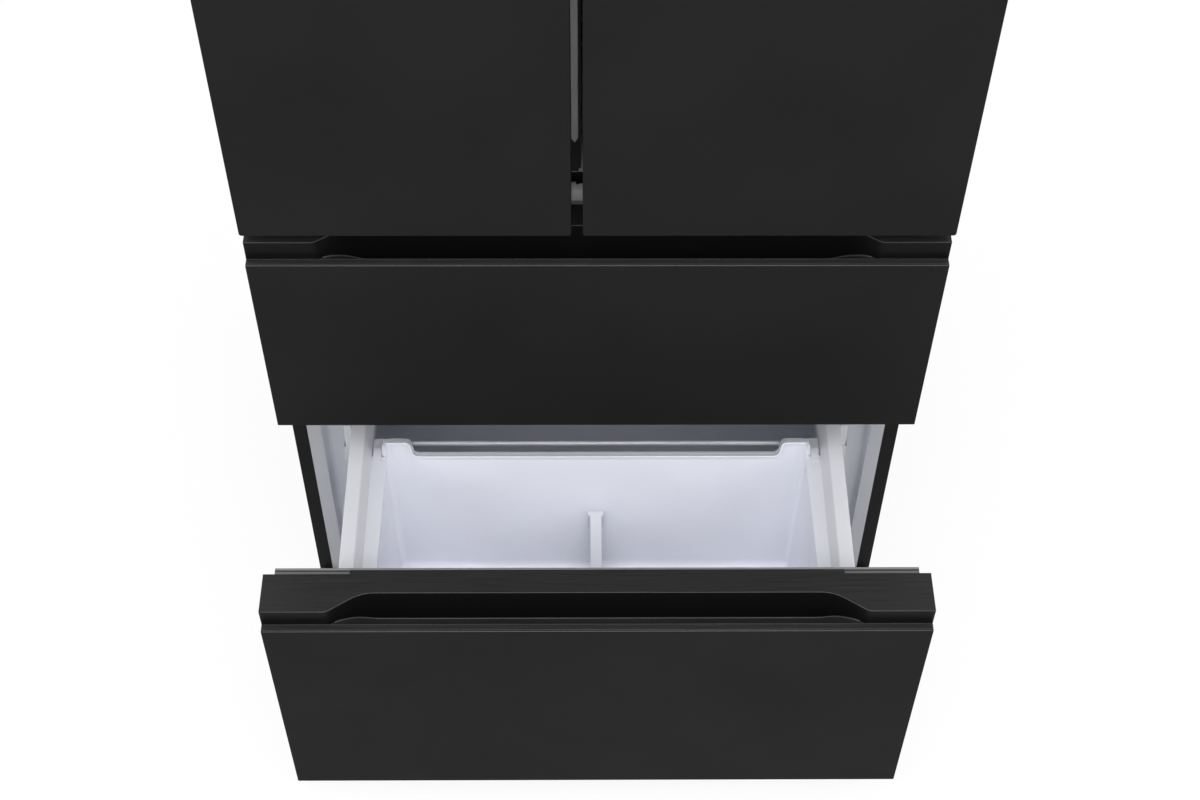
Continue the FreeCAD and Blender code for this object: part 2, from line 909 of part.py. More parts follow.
def door_bin(name, x, start, low):
    t = s.door_bin_wall
    y = (start, start + s.door_bin_reach)
    blank = box(f"{name}_blank", x, y, (low, low + s.door_bin_height))
    soft = rounded(
        f"{name}_soft",
        blank,
        t * 4,
        lambda edge: edge.BoundBox.ZLength > 1 and edge.BoundBox.YMin > start.number + 1,
    )
    inside = box(
        f"{name}_inside",
        (x[0] + t, x[1] - t),
        (y[0] + t, y[1] - t),
        (low + t, low + s.door_bin_height + s.cut_past),
    )
    soft_inside = rounded(
        f"{name}_soft_inside",
        inside,
        t * 3,
        lambda edge: edge.BoundBox.ZLength > 1 and edge.BoundBox.YMin > start.number + 2 * t.number,
    )
    node(cut(name, soft, soft_inside))


# Sealing flap that turns on the left door's free edge
flap_right = right_door_x[0] - s.flap_gap
flap_left = flap_right - s.flap_width
flap_low = door_low + s.flap_low_rise
flap_high = door_high - s.flap_high_drop
flap_pin_x = flap_left + s.flap_pin_inset
flap_pin_y = case_y + s.flap_thickness / 2


def flap_lugs():
    lugs = []
    bores = []
    lug_x = (flap_left, flap_left + 2 * s.flap_pin_inset)
    lug_y = (front_y + s.door_thickness, case_y + s.flap_thickness)
    spans = (
        (flap_low - s.flap_lug_play - s.flap_lug, flap_low - s.flap_lug_play),
        (flap_high + s.flap_lug_play, flap_high + s.flap_lug_play + s.flap_lug),
    )
    for index, span in enumerate(spans):
        lugs.append(box(f"flap_lug_{index}", lug_x, lug_y, span))
        bores.append(
            cylinder(
                f"flap_bore_{index}",
                "z",
                (flap_pin_x, flap_pin_y, span[0] - s.flap_lug_play),
                s.flap_lug + 2 * s.flap_lug_play,
                s.flap_pin_radius + s.hinge_play,
            )
        )
    return lugs, bores


def mullion_flap():
    plate = box(
        "flap_plate", (flap_left, flap_right), (case_y, case_y + s.flap_thickness), (flap_low, flap_high)
    )
    rib_x = (flap_right - s.flap_rib_width, flap_right)
    rib_mid = flap_right - s.flap_rib_width / 2
    rib = prism_y(
        "flap_rib",
        [
            [
                (rib_mid, flap_low),
                (rib_x[1], flap_low + s.flap_rib_point),
                (rib_x[1], flap_high - s.flap_rib_point),
                (rib_mid, flap_high),
                (rib_x[0], flap_high - s.flap_rib_point),
                (rib_x[0], flap_low + s.flap_rib_point),
            ]
        ],
        case_y - s.flap_rib_depth,
        s.flap_rib_depth,
    )
    pins = [
        cylinder(f"flap_pin_{word}", "z", (flap_pin_x, flap_pin_y, low), s.flap_pin_length, s.flap_pin_radius)
        for word, low in (("low", flap_low - s.flap_pin_length), ("high", flap_high))
    ]
    node(fuse("mullion_flap", plate, rib, *pins))


# Drawer fronts with the finger pocket along the top
def drawer_front(word, front, low, high):
    k = s.front_sheet
    ledge_y = front + s.ledge_depth
    rear = front + s.door_thickness
    cap_low = high - s.trough_depth - s.cap_sheet
    cap_top = high + s.cap_rise
    blank = box(f"{word}_skin_blank", both(half), (front, ledge_y), (low, high))
    inside = box(
        f"{word}_skin_inside", both(half - k), (front + k, ledge_y + s.cut_past), (low + k, high - k)
    )
    node(cut(f"{word}_front_skin", blank, inside))

    lip = box(f"{word}_core_lip", both(half - k), (front + k, ledge_y), (low + k, high - k))
    block = box(f"{word}_core_block", both(half), (ledge_y, rear), (low, cap_low))
    seal_x = both(half - s.gasket_inset)
    node(fuse(f"{word}_front_core", lip, block))

    handle_cap(word, ledge_y, rear, front + s.pocket_back, cap_low, cap_top)

    gasket(f"{word}_gasket", seal_x, (low + s.gasket_inset, cap_top - s.gasket_top_drop), rear)


def handle_cap(word, ledge_y, rear, back, cap_low, bed):
    host = doc.addObject("PartDesign::Body", f"{word}_cap_body")
    blank = sketch(host, f"{word}_cap_outline", "XY_Plane", [rectangle(both(half), (ledge_y, rear))], cap_low)
    feature(host, "Pad", f"{word}_cap_pad", blank, bed - cap_low)
    mouth = half - s.pocket_mouth_inset
    flat = half - s.pocket_back_inset
    run = mouth - flat
    rise = back - ledge_y
    slope = slant(run, rise)
    ease = rise / (slope + run)
    mouth_ease = s.pocket_mouth_bend * ease
    back_ease = s.pocket_back_bend * ease
    start = mouth + mouth_ease
    end = flat - back_ease
    foot = (mouth - mouth_ease * run / slope, ledge_y + mouth_ease * rise / slope)
    brow = (flat + back_ease * run / slope, back - back_ease * rise / slope)
    before = ledge_y - s.cut_past
    outline = [
        (-start, before),
        (-start, ledge_y, s.pocket_mouth_bend, 1),
        (-foot[0], foot[1]),
        (-brow[0], brow[1], s.pocket_back_bend, -1),
        (-end, back),
        (end, back, s.pocket_back_bend, -1),
        (brow[0], brow[1]),
        (foot[0], foot[1], s.pocket_mouth_bend, 1),
        (start, ledge_y),
        (start, before),
    ]
    pocket = sketch(host, f"{word}_pocket_outline", "XY_Plane", [outline], bed)
    doc.recompute()
    feature(host, "Pocket", f"{word}_pocket", pocket, bed - cap_low - s.cap_sheet)
    over_x = both(half - s.gasket_inset)
    over_low = bed - s.cap_overhang_sheet
    over_end = rear + s.cap_overhang
    groove_y = rear + s.cap_end_overhang
    tongue_x = both(half - s.cap_tongue_inset)
    ends = box(f"{word}_cap_ends", both(half), (rear, groove_y), (over_low, bed))
    groove = box(f"{word}_cap_groove", over_x, (rear, over_end), (over_low, bed - s.cap_groove_depth))
    tongue = box(f"{word}_cap_tongue", tongue_x, (rear, over_end), (over_low, bed))
    trim = box(f"{word}_cap_trim", over_x, span(over_end, s.cap_trim), (over_low, bed - s.cap_trim_drop))
    node(fuse(f"{word}_handle_cap", host, ends, groove, tongue, trim))


# Drawer frames: a tall plate with a ledge for the bin, whose lower edge runs in the slide
def drawer_frames(word, front, high, length, shelf_length):
    top = high - s.frame_drop
    low = top - s.frame_height
    rear = front + s.door_thickness
    outer = frame_half
    shelf_z = top - s.bin_ledge_drop
    under = shelf_z - s.bin_ledge_sheet
    web_x = outer - s.frame_web
    lean_x = outer - s.frame_width - s.frame_lean
    frames = []
    for side in (-1, 1):
        points = [
            (outer, low),
            (outer, top),
            (outer - s.frame_width, top),
            (lean_x, top - s.frame_lean_drop),
            (lean_x, under),
            (web_x, under),
            (web_x, low),
        ]
        section = [(side * u, v) for u, v in points]
        plate = prism_y(f"{word}_frame_plate_{side + 1}", [section], rear, length)
        shelf_x = sided(side, bin_half, lean_x)
        shelf = box(f"{word}_frame_shelf_{side + 1}", shelf_x, span(rear, shelf_length), (under, shelf_z))
        frames.append(fuse(f"{word}_frame_{side + 1}", plate, shelf))
    node(group(f"{word}_side_frames", *frames))
    return top


# Slides under the frames: a channel that travels half as far as the drawer, in a channel on the liner's wall
def drawer_slides(word, high, out, outer_length, mid_length):
    web_low = high - s.frame_drop - s.frame_height
    outer_y = case_y + s.rail_setback
    mid_y = outer_y - out / 2
    outer_gap = 2 * s.rail_clear + s.rail_sheet
    outer_far = outer_gap + s.rail_sheet
    tab_z = span(web_low - outer_far, s.rail_tab_height)
    outers = []
    mids = []
    for side in (-1, 1):
        web_x = sided(side, frame_half - s.frame_web, frame_half)
        mid_name = f"{word}_mid_rail_{side + 1}"
        mids.append(channel(mid_name, web_x, span(mid_y, mid_length), web_low, s.rail_clear))
        outer_name = f"{word}_outer_rail_{side + 1}"
        trough = channel(f"{outer_name}_trough", web_x, span(outer_y, outer_length), web_low, outer_gap)
        tab_x = sided(side, frame_half + outer_far, drawer_half)
        first = outer_y + s.rail_tab_setback
        last = outer_y + outer_length - s.rail_tab_length
        tabs = [
            box(f"{outer_name}_tab_{word_end}", tab_x, span(start, s.rail_tab_length), tab_z)
            for word_end, start in (("front", first), ("rear", last))
        ]
        outers.append(fuse(outer_name, trough, *tabs))
    node(group(f"{word}_outer_rails", *outers))
    node(group(f"{word}_mid_rails", *mids))


def channel(name, web_x, y, web_low, gap):
    far = gap + s.rail_sheet
    top = web_low + s.rail_height
    blank = box(f"{name}_blank", (web_x[0] - far, web_x[1] + far), y, (web_low - far, top))
    slot_y = (y[0] - s.cut_past, y[1] + s.cut_past)
    slot_z = (web_low - gap, top + s.cut_past)
    slot = box(f"{name}_slot", (web_x[0] - gap, web_x[1] + gap), slot_y, slot_z)
    return cut(name, blank, slot)


def drawer_bin(word, front, top, length, depth):
    rear = front + s.door_thickness
    y = (rear + s.bin_front_play, rear + length - s.bin_rear_play)
    rim_low = top - s.bin_ledge_drop
    rim_top = rim_low + s.bin_rim
    ear_top = rim_top + s.bin_ear_rise
    floor = rim_top - depth
    wide = bin_half - s.bin_play
    w = s.bin_wall
    taper = s.bin_taper
    r = s.bin_corner
    outer = loft(
        f"{word}_bin_outer",
        rounded_rectangle(both(wide - taper), (y[0] + taper, y[1] - taper), r),
        floor,
        rounded_rectangle(both(wide), y, r),
        ear_top,
    )
    inner = loft(
        f"{word}_bin_inner",
        rounded_rectangle(both(wide - taper - w), (y[0] + taper + w, y[1] - taper - w), r - w),
        floor + w,
        rounded_rectangle(both(wide - w), (y[0] + w, y[1] - w), r - w),
        ear_top + w,
    )
    lowered = box(
        f"{word}_bin_lowered",
        both(half),
        (y[0] - s.cut_past, y[1] - s.bin_ear_depth),
        (rim_top, ear_top + s.cut_past),
    )
    rims = []
    for side in (-1, 1):
        rim_x = sided(side, wide - taper / 2, frame_half - s.frame_width - s.frame_lean - s.bin_play)
        rims.append(box(f"{word}_bin_rim_{side + 1}", rim_x, (y[0] + r, y[1] - r), (rim_low, rim_top)))
    notch_low = rim_top - s.bin_notch_drop
    notch_half = bin_half - s.bin_notch_margin
    notch = prism_y(
        f"{word}_bin_notch",
        [
            [
                (-notch_half, notch_low),
                (notch_half, notch_low),
                (notch_half + s.bin_notch_slope, ear_top + s.cut_past),
                (-notch_half - s.bin_notch_slope, ear_top + s.cut_past),
            ]
        ],
        y[1] - s.bin_ear_depth,
        s.bin_ear_depth + s.cut_past,
    )
    shell = fuse(f"{word}_bin_rimmed", cut(f"{word}_bin_stepped", outer, lowered), *rims)
    node(cut(f"{word}_bin", shell, inner, notch))
    return y, floor


def freezer_fittings(y, floor, top, front):
    w = s.bin_wall
    taper = s.bin_taper
    inside = (y[0] + taper + w + s.divider_play, y[1] - taper - w - s.divider_play)
    base = floor + w
    width = s.divider_width / 2
    flare = s.divider_end_width / 2
    wall = box("divider_wall", both(width), inside, span(base, s.divider_height))
    end_y = (inside[1] - s.divider_end_depth, inside[1])
    top_z = base + s.divider_height
    end = box("divider_end", both(flare), end_y, (top_z - s.divider_end_height, top_z))
    node(fuse("freezer_divider", wall, end))
    bar_y = front + s.door_thickness + s.freezer_bin_length + s.cross_bar_gap
    bar_at = (-bin_half, bar_y, top - s.cross_bar_drop)
    node(cylinder("freezer_cross_bar", "x", bar_at, 2 * bin_half, s.cross_bar_radius))


# Fresh-food compartment
def shelves_duct_and_lamp():
    y = (case_y + s.shelf_front, case_y + room_depth - s.shelf_back)
    for word, rise in (("lower", s.lower_shelf_rise), ("upper", s.upper_shelf_rise)):
        low = fridge_floor + rise
        node(box(f"glass_shelf_{word}", both(inner_half - s.shelf_play), y, (low, low + s.shelf_glass)))

    rear = case_y + room_depth
    low = fridge_floor + s.duct_rise
    high = fridge_ceiling - s.duct_high_drop
    d = s.duct_wall
    blank = box("duct_blank", both(s.duct_half), (rear - s.duct_depth, rear), (low, high))
    soft = rounded(
        "duct_soft",
        blank,
        d * 2,
        lambda edge: edge.BoundBox.ZLength > 1 and edge.BoundBox.YMax < rear.number - 1,
    )
    hollow = box(
        "duct_hollow",
        both(s.duct_half - d),
        (rear - s.duct_depth + d, rear + s.cut_past),
        (low + d, high - d),
    )
    slots = []
    slot_step = (high - low - 2 * s.duct_slot_offset) / (duct_slots - 1)
    for index in range(duct_slots):
        slot_low = low + s.duct_slot_offset + index * slot_step
        slot_y = (rear - s.duct_depth - s.cut_past, rear - d)
        slot_z = span(slot_low, s.duct_slot_height)
        slots.append(box(f"duct_slot_{index}", both(s.duct_slot_half), slot_y, slot_z))
    node(cut("air_duct", soft, hollow, *slots))

    lens_y = span(case_y + s.lens_setback, s.lens_depth)
    lens_z = (fridge_ceiling - s.lens_height, fridge_ceiling)
    blank = box("lens_blank", both(s.lens_half), lens_y, lens_z)
    edge_r = s.lens_height / 2
    node(rounded("lamp_lens", blank, edge_r, lambda edge: edge.BoundBox.ZMax < fridge_ceiling.number - 1))


# Fan wheel made about the Y axis, with its bore through the hub
def fan(name, quarter_turned):
    host = doc.addObject("PartDesign::Body", name)
    drawing = host.newObject("Sketcher::SketchObject", f"{name}_hub_outline")
    drawing.AttachmentSupport = [(plane(host, "XZ_Plane"), "")]
    drawing.MapMode = "FlatFace"
    for index, radius in enumerate((s.fan_hub_radius, s.fan_bore_radius + s.fan_play)):
        circle = Part.Circle(FreeCAD.Vector(0, 0, 0), FreeCAD.Vector(0, 0, 1), radius.number)
        drawing.addGeometry(circle, False)
        drawing.addConstraint(Sketcher.Constraint("Coincident", index, 3, -1, 1))
        rule = drawing.addConstraint(Sketcher.Constraint("Radius", index, radius.number))
        bind(drawing, f"Constraints[{rule}]", radius)
    feature(host, "Pad", f"{name}_hub", drawing, s.fan_depth, True)
    lean = s.fan_blade_lean
    thick = s.fan_blade_sheet
    low = s.fan_blade_sheet
    high = s.fan_depth - s.fan_blade_sheet
    section = [(-lean - thick, low), (thick - lean, low), (lean + thick, high), (lean - thick, high)]
    root = s.fan_hub_radius - 2 * s.fan_blade_sheet
    blade = sketch(host, f"{name}_blade_section", "XY_Plane", [section], root)
    pad = feature(host, "Pad", f"{name}_blade", blade, s.fan_tip - root)
    ring = host.newObject("PartDesign::PolarPattern", f"{name}_blades")
    ring.Originals = [pad]
    ring.Axis = (plane(host, "Y_Axis"), [""])
    ring.Angle = 360
    ring.Occurrences = fan_blades
    host.Tip = ring
    if quarter_turned:
        host.Placement.Rotation = FreeCAD.Rotation(FreeCAD.Vector(0, 0, 1), -90)
    return node(host)


# Cold-air unit: fin block, panel in front of it, and the fan that hangs behind the panel's opening
def cold_unit():
    panel_y = case_y + room_depth - s.evaporator_space
    panel_back = panel_y + s.cover_plate
    middle = (unit_floor + freezer_ceiling) / 2
    p = s.cover_play
    panel_z = (unit_floor, freezer_ceiling - p)
    panel = box("cover_panel", both(drawer_half - p), (panel_y, panel_back), panel_z)
    plate_y = (panel_y, panel_back)
    hole_length = s.cover_plate + 2 * s.cut_past
    hole = cylinder("cover_hole", "y", (0, panel_y - s.cut_past, middle), hole_length, s.fan_hole)
    shaft_length = s.cover_plate + s.fan_gap + s.fan_depth
    reach = s.fan_hole + s.fan_gap
    spoke = s.spoke_width / 2
    motor_at = (0, panel_back - s.motor_depth, middle)
    pieces = [
        cut("cover_open", panel, hole),
        box("cover_spoke_across", both(reach), plate_y, about(middle, spoke)),
        box("cover_spoke_up", both(spoke), plate_y, about(middle, reach)),
        cylinder("cover_motor", "y", motor_at, s.motor_depth, s.motor_radius),
        cylinder("cover_shaft", "y", (0, panel_y, middle), shaft_length, s.fan_bore_radius),
    ]
    node(fuse("evaporator_cover", *pieces))
    wheel = fan("evaporator_fan", False)
    place(wheel, 0, panel_back + s.fan_gap - s.fan_play, middle)

    fin_y = (panel_back + s.evaporator_setback, panel_back + s.evaporator_setback + s.evaporator_depth)
    low = unit_floor
    mid_y = (fin_y[0] + fin_y[1]) / 2
    mid_z = low + s.evaporator_height / 2
    fin_half = drawer_half - s.evaporator_margin
    fins = int(2 * fin_half.number / sizes["fin_step"])
    step = (2 * fin_half - s.fin_sheet) / fins
    pieces = []
    for index in range(fins + 1):
        at = step * index - fin_half
        pieces.append(box(f"fin_{index}", (at, at + s.fin_sheet), fin_y, (low, low + s.evaporator_height)))
    for shift in (-1, 1):
        start = (-fin_half, mid_y, mid_z + shift * s.tube_spread / 2)
        pieces.append(cylinder(f"tube_{shift + 1}", "x", start, 2 * fin_half, s.tube_radius))
    node(fuse("evaporator", *pieces))


# Machine compartment
def machine_room():
    t = s.base_sheet
    cover = box("machine_sheet", both(shell_half), (back_y - t, back_y), (s.case_bottom, machine_top))
    openings = []
    for side in (-1, 1):
        for row in range(vent_rows):
            low = s.case_bottom + s.vent_rise + row * s.vent_step
            vent_x = about(side * (half - s.vent_inset), s.vent_width / 2)
            vent_y = (back_y - t - s.cut_past, back_y + s.cut_past)
            openings.append(box(f"vent_{side + 1}_{row}", vent_x, vent_y, (low, low + s.vent_height)))
    inlet_low = s.case_bottom + s.inlet_rise
    inlet_x = span(half - s.inlet_inset, s.inlet_width)
    p = s.inlet_play
    openings.append(
        box(
            "inlet_opening",
            (inlet_x[0] - p, inlet_x[1] + p),
            (back_y - t - s.cut_past, back_y + s.cut_past),
            (inlet_low - p, inlet_low + s.inlet_height + p),
        )
    )
    node(cut("machine_cover", cover, *openings))
    power_inlet(inlet_x, inlet_low)

    base = base_top
    mid_y = machine_y + s.machine_depth / 2
    compressor(mid_y, base)
    shroud_x = s.shroud_offset
    shroud_y = (machine_y + s.shroud_margin, back_y - s.shroud_margin)
    middle = base + s.shroud_height / 2
    plate_x = (shroud_x, shroud_x + s.shroud_plate)
    plate = box("shroud_plate_blank", plate_x, shroud_y, (base, base + s.shroud_height))
    hole_start = (shroud_x - s.cut_past, mid_y, middle)
    hole = cylinder("shroud_hole", "x", hole_start, s.shroud_plate + 2 * s.cut_past, s.fan_hole)
    shaft_length = s.shroud_plate + s.fan_gap + s.fan_depth
    reach = s.fan_hole + s.fan_gap
    spoke = s.spoke_width / 2
    motor_at = (plate_x[1] - s.motor_depth, mid_y, middle)
    pieces = [
        cut("shroud_open", plate, hole),
        box("shroud_spoke_across", plate_x, about(mid_y, reach), about(middle, spoke)),
        box("shroud_spoke_up", plate_x, about(mid_y, spoke), about(middle, reach)),
        cylinder("shroud_motor", "x", motor_at, s.motor_depth, s.motor_radius),
        cylinder("shroud_shaft", "x", (shroud_x, mid_y, middle), shaft_length, s.fan_bore_radius),
    ]
    node(fuse("condenser_fan_shroud", *pieces))
    wheel = fan("condenser_fan", True)
    place(wheel, plate_x[1] + s.fan_gap - s.fan_play, mid_y, middle)
    drain_and_coil(mid_y, base)


def power_inlet(x, low):
    w = s.inlet_wall
    y = (back_y - s.inlet_depth, back_y)
    z = (low, low + s.inlet_height)
    blank = box("inlet_blank", x, y, z)
    socket_y = (back_y - s.inlet_socket, back_y + s.cut_past)
    socket = box("inlet_socket", (x[0] + w, x[1] - w), socket_y, (z[0] + w, z[1] - w))
    mid_x = (x[0] + x[1]) / 2
    mid_z = (z[0] + z[1]) / 2
    blades = []
    for index in (-1, 0, 1):
        at = mid_x + index * s.inlet_blade_step
        b = s.inlet_blade / 2
        blade_y = (back_y - s.inlet_socket, back_y - w)
        blades.append(box(f"inlet_blade_{index + 1}", about(at, b), blade_y, about(mid_z, 2 * b)))
    node(fuse("power_inlet", cut("inlet_body", blank, socket), *blades))


def compressor(mid_y, base):
    middle_x = half - s.compressor_inset
    r = s.compressor_radius
    dome = s.compressor_dome
    top = s.compressor_foot + s.compressor_height
    loop = [
        (0, s.compressor_foot),
        (r, s.compressor_foot),
        (r, top - dome, dome, 1),
        (r - dome, top),
        (0, top),
    ]
    can = turned_body("compressor_can", loop)
    place(can, middle_x, mid_y, base)
    wide = s.compressor_foot_half
    x = about(middle_x, wide)
    plate_z = (base + s.compressor_foot / 2, base + s.compressor_foot + s.base_sheet)
    plate = box("compressor_plate", x, about(mid_y, r), plate_z)
    pads = []
    pad = s.compressor_foot
    for side in (-1, 1):
        for end in (-1, 1):
            pad_at = (middle_x + side * (wide - pad), mid_y + end * (r - pad), base)
            pad_name = f"compressor_pad_{side + 1}_{end + 1}"
            pads.append(cylinder(pad_name, "z", pad_at, s.compressor_foot, pad / 2))
    node(fuse("compressor", can, plate, *pads))


def drain_and_coil(mid_y, base):
    w = s.pan_wall
    x = about(-pan_x, s.pan_half_width)
    y = about(mid_y, s.pan_half_depth)
    blank = box("pan_blank", x, y, span(base, s.pan_height))
    inside_z = (base + w, base + s.pan_height + s.cut_past)
    inside = box("pan_inside", (x[0] + w, x[1] - w), (y[0] + w, y[1] - w), inside_z)
    rib_x = (-pan_x - s.pan_rib / 2, -pan_x + s.pan_rib / 2)
    rib_top = base + s.pan_height + s.pan_rib
    rib = box("pan_rib", rib_x, (y[0] + w, y[1] - w), (base, rib_top))
    node(fuse("drain_pan", cut("pan_tray", blank, inside), rib))

    # the coil is straight runs joined by half-round ends, climbing from the pan's rib
    radius = sizes["coil_radius"]
    pitch = sizes["coil_pitch"]
    run = sizes["coil_run"]
    left = -pan_x.number - run / 2
    low = rib_top.number + sizes["seat_play"] + radius
    edges = []
    for index in range(coil_runs):
        z = low + index * pitch
        ends = [FreeCAD.Vector(left, mid_y.number, z), FreeCAD.Vector(left + run, mid_y.number, z)]
        first, last = ends if index % 2 == 0 else reversed(ends)
        edges.append(Part.LineSegment(first, last).toShape())
        if index < coil_runs - 1:
            swing = pitch / 2 if index % 2 == 0 else -pitch / 2
            top = FreeCAD.Vector(last.x, last.y, last.z + pitch)
            bulge = FreeCAD.Vector(last.x + swing, last.y, last.z + pitch / 2)
            edges.append(Part.Arc(last, bulge, top).toShape())
    path = Part.Wire(edges)
    start = FreeCAD.Vector(left, mid_y.number, low)
    ring = Part.Wire([Part.Circle(start, FreeCAD.Vector(1, 0, 0), radius).toShape()])
    coil = doc.addObject("Part::Feature", "condenser_coil")
    coil.Shape = path.makePipeShell([ring], True, False)
    node(coil)


cabinet_shell()
back_panel()
base_pan()
liners_and_foam()
crossbars()
kick_plate()
top_hinges()
centre_hinges()
feet_and_rollers()
door("left", -1, left_door_x)
door("right", 1, right_door_x)
mullion_flap()
drawer_front("middle", front_y, middle_low, middle_high)
middle_top = drawer_frames("middle", front_y, middle_high, s.middle_frame_length, s.middle_bin_length)
drawer_bin("middle", front_y, middle_top, s.middle_bin_length, s.middle_bin_depth)
drawer_slides("middle", middle_high, as_size(0), s.middle_rail_length, s.middle_mid_length)
drawer_front("freezer", freezer_y, s.freezer_low, freezer_high)
freezer_shelf = s.freezer_bin_length + 2 * s.cross_bar_gap
freezer_top = drawer_frames("freezer", freezer_y, freezer_high, s.freezer_frame_length, freezer_shelf)
bin_y, bin_floor = drawer_bin("freezer", freezer_y, freezer_top, s.freezer_bin_length, s.freezer_bin_depth)
freezer_fittings(bin_y, bin_floor, freezer_top, freezer_y)
drawer_slides("freezer", freezer_high, s.drawer_out, s.freezer_rail_length, s.freezer_mid_length)
shelves_duct_and_lamp()
cold_unit()
machine_room()

doc.recompute()
faults = [item.Label for item in doc.Objects if "Invalid" in item.State or "Error" in item.State]
faults += [item.Label for item in nodes if item.Shape.isNull() or not item.Shape.isValid()]
if faults:
    raise RuntimeError(f"these pieces failed: {sorted(set(faults))}")

os.makedirs("parts", exist_ok=True)
for item in nodes:
    item.Shape.exportStep(f"parts/{item.Label}.step")
print(len(nodes), "pieces written")
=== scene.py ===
import json
import math

import bmesh
import bpy
from mathutils import Matrix, Vector


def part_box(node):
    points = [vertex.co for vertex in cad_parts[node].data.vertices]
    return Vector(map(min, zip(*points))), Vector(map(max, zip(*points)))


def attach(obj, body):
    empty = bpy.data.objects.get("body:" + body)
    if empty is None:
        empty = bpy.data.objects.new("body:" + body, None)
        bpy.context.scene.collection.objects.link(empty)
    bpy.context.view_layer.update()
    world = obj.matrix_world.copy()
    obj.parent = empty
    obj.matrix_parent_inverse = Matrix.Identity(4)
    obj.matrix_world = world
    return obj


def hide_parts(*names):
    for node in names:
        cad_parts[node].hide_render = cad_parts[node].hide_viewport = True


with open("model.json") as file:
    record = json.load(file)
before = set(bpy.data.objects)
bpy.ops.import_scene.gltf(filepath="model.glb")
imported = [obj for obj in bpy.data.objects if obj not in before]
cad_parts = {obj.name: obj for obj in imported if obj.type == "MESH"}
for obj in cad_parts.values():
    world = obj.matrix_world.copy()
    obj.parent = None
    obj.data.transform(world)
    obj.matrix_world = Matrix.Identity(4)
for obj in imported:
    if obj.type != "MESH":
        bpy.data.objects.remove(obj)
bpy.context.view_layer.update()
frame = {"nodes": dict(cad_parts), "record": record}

scene = bpy.context.scene
scene.view_settings.view_transform = "Standard"
nodes = frame["nodes"]
record = frame["record"]
slotOf = {row["node"]: row["material_slot"] for row in record["subparts"]}
bodyOf = {name: body for body, names in record["behaviour"]["bodies"].items() for name in names}
mm = 0.001
print("frame loaded with", len(nodes), "CAD pieces")


# Small node helpers that every finish shares

def startFinish(name):
    material = bpy.data.materials.new(name)
    material.use_nodes = True
    tree = material.node_tree
    tree.nodes.clear()
    output = tree.nodes.new("ShaderNodeOutputMaterial")
    shader = tree.nodes.new("ShaderNodeBsdfPrincipled")
    tree.links.new(shader.outputs["BSDF"], output.inputs["Surface"])
    place = tree.nodes.new("ShaderNodeTexCoord").outputs["Object"]
    return material, tree, shader, place


def stretched(tree, place, scale):
    mapping = tree.nodes.new("ShaderNodeMapping")
    mapping.inputs["Scale"].default_value = scale
    tree.links.new(place, mapping.inputs["Vector"])
    return mapping.outputs["Vector"]


def grain(tree, place, size, detail=3.0, distortion=0.0):
    noise = tree.nodes.new("ShaderNodeTexNoise")
    noise.inputs["Scale"].default_value = 1 / size    # size of one grain in metres
    noise.inputs["Detail"].default_value = detail
    noise.inputs["Distortion"].default_value = distortion
    tree.links.new(place, noise.inputs["Vector"])
    return noise.outputs["Fac"]


def toned(tree, value, dark, light, low=0.35, high=0.65):
    ramp = tree.nodes.new("ShaderNodeValToRGB")
    first, last = ramp.color_ramp.elements
    first.position = low
    last.position = high
    first.color = (*dark, 1)
    last.color = (*light, 1)
    tree.links.new(value, ramp.inputs["Fac"])
    return ramp.outputs["Color"]


def ranged(tree, value, low, high):
    spread = tree.nodes.new("ShaderNodeMapRange")
    spread.inputs["From Min"].default_value = 0.3
    spread.inputs["From Max"].default_value = 0.7
    spread.inputs["To Min"].default_value = low
    spread.inputs["To Max"].default_value = high
    tree.links.new(value, spread.inputs["Value"])
    return spread.outputs["Result"]


def blended(tree, first, second, share):
    mix = tree.nodes.new("ShaderNodeMix")
    mix.data_type = "RGBA"
    mix.inputs["Factor"].default_value = share
    tree.links.new(first, mix.inputs[6])
    tree.links.new(second, mix.inputs[7])
    return mix.outputs[2]


def bumped(tree, shader, height, strength, depth):
    bump = tree.nodes.new("ShaderNodeBump")
    bump.inputs["Strength"].default_value = strength
    bump.inputs["Distance"].default_value = depth
    tree.links.new(height, bump.inputs["Height"])
    tree.links.new(bump.outputs["Normal"], shader.inputs["Normal"])


def roughened(tree, shader, value, rough, spread):
    tree.links.new(ranged(tree, value, rough - spread, rough + spread), shader.inputs["Roughness"])


def shaded(tone, share):
    return tuple(channel * share for channel in tone)


# Finishes: one function for each kind of surface

def satinPaint(name, tone, rough, gloss, spread=0.12):
    material, tree, shader, place = startFinish(name)
    slow = toned(tree, grain(tree, place, 0.22, 2), shaded(tone, 1 - spread), shaded(tone, 1 + spread))
    fleck = toned(tree, grain(tree, place, 0.0012, 2), shaded(tone, 0.86), shaded(tone, 1.14))
    tree.links.new(blended(tree, slow, fleck, 0.4), shader.inputs["Base Color"])
    roughened(tree, shader, grain(tree, place, 0.05, 3), rough, 0.03)
    shader.inputs["Specular IOR Level"].default_value = gloss
    bumped(tree, shader, grain(tree, place, 0.0009, 2), 0.06, 0.0002)
    return material


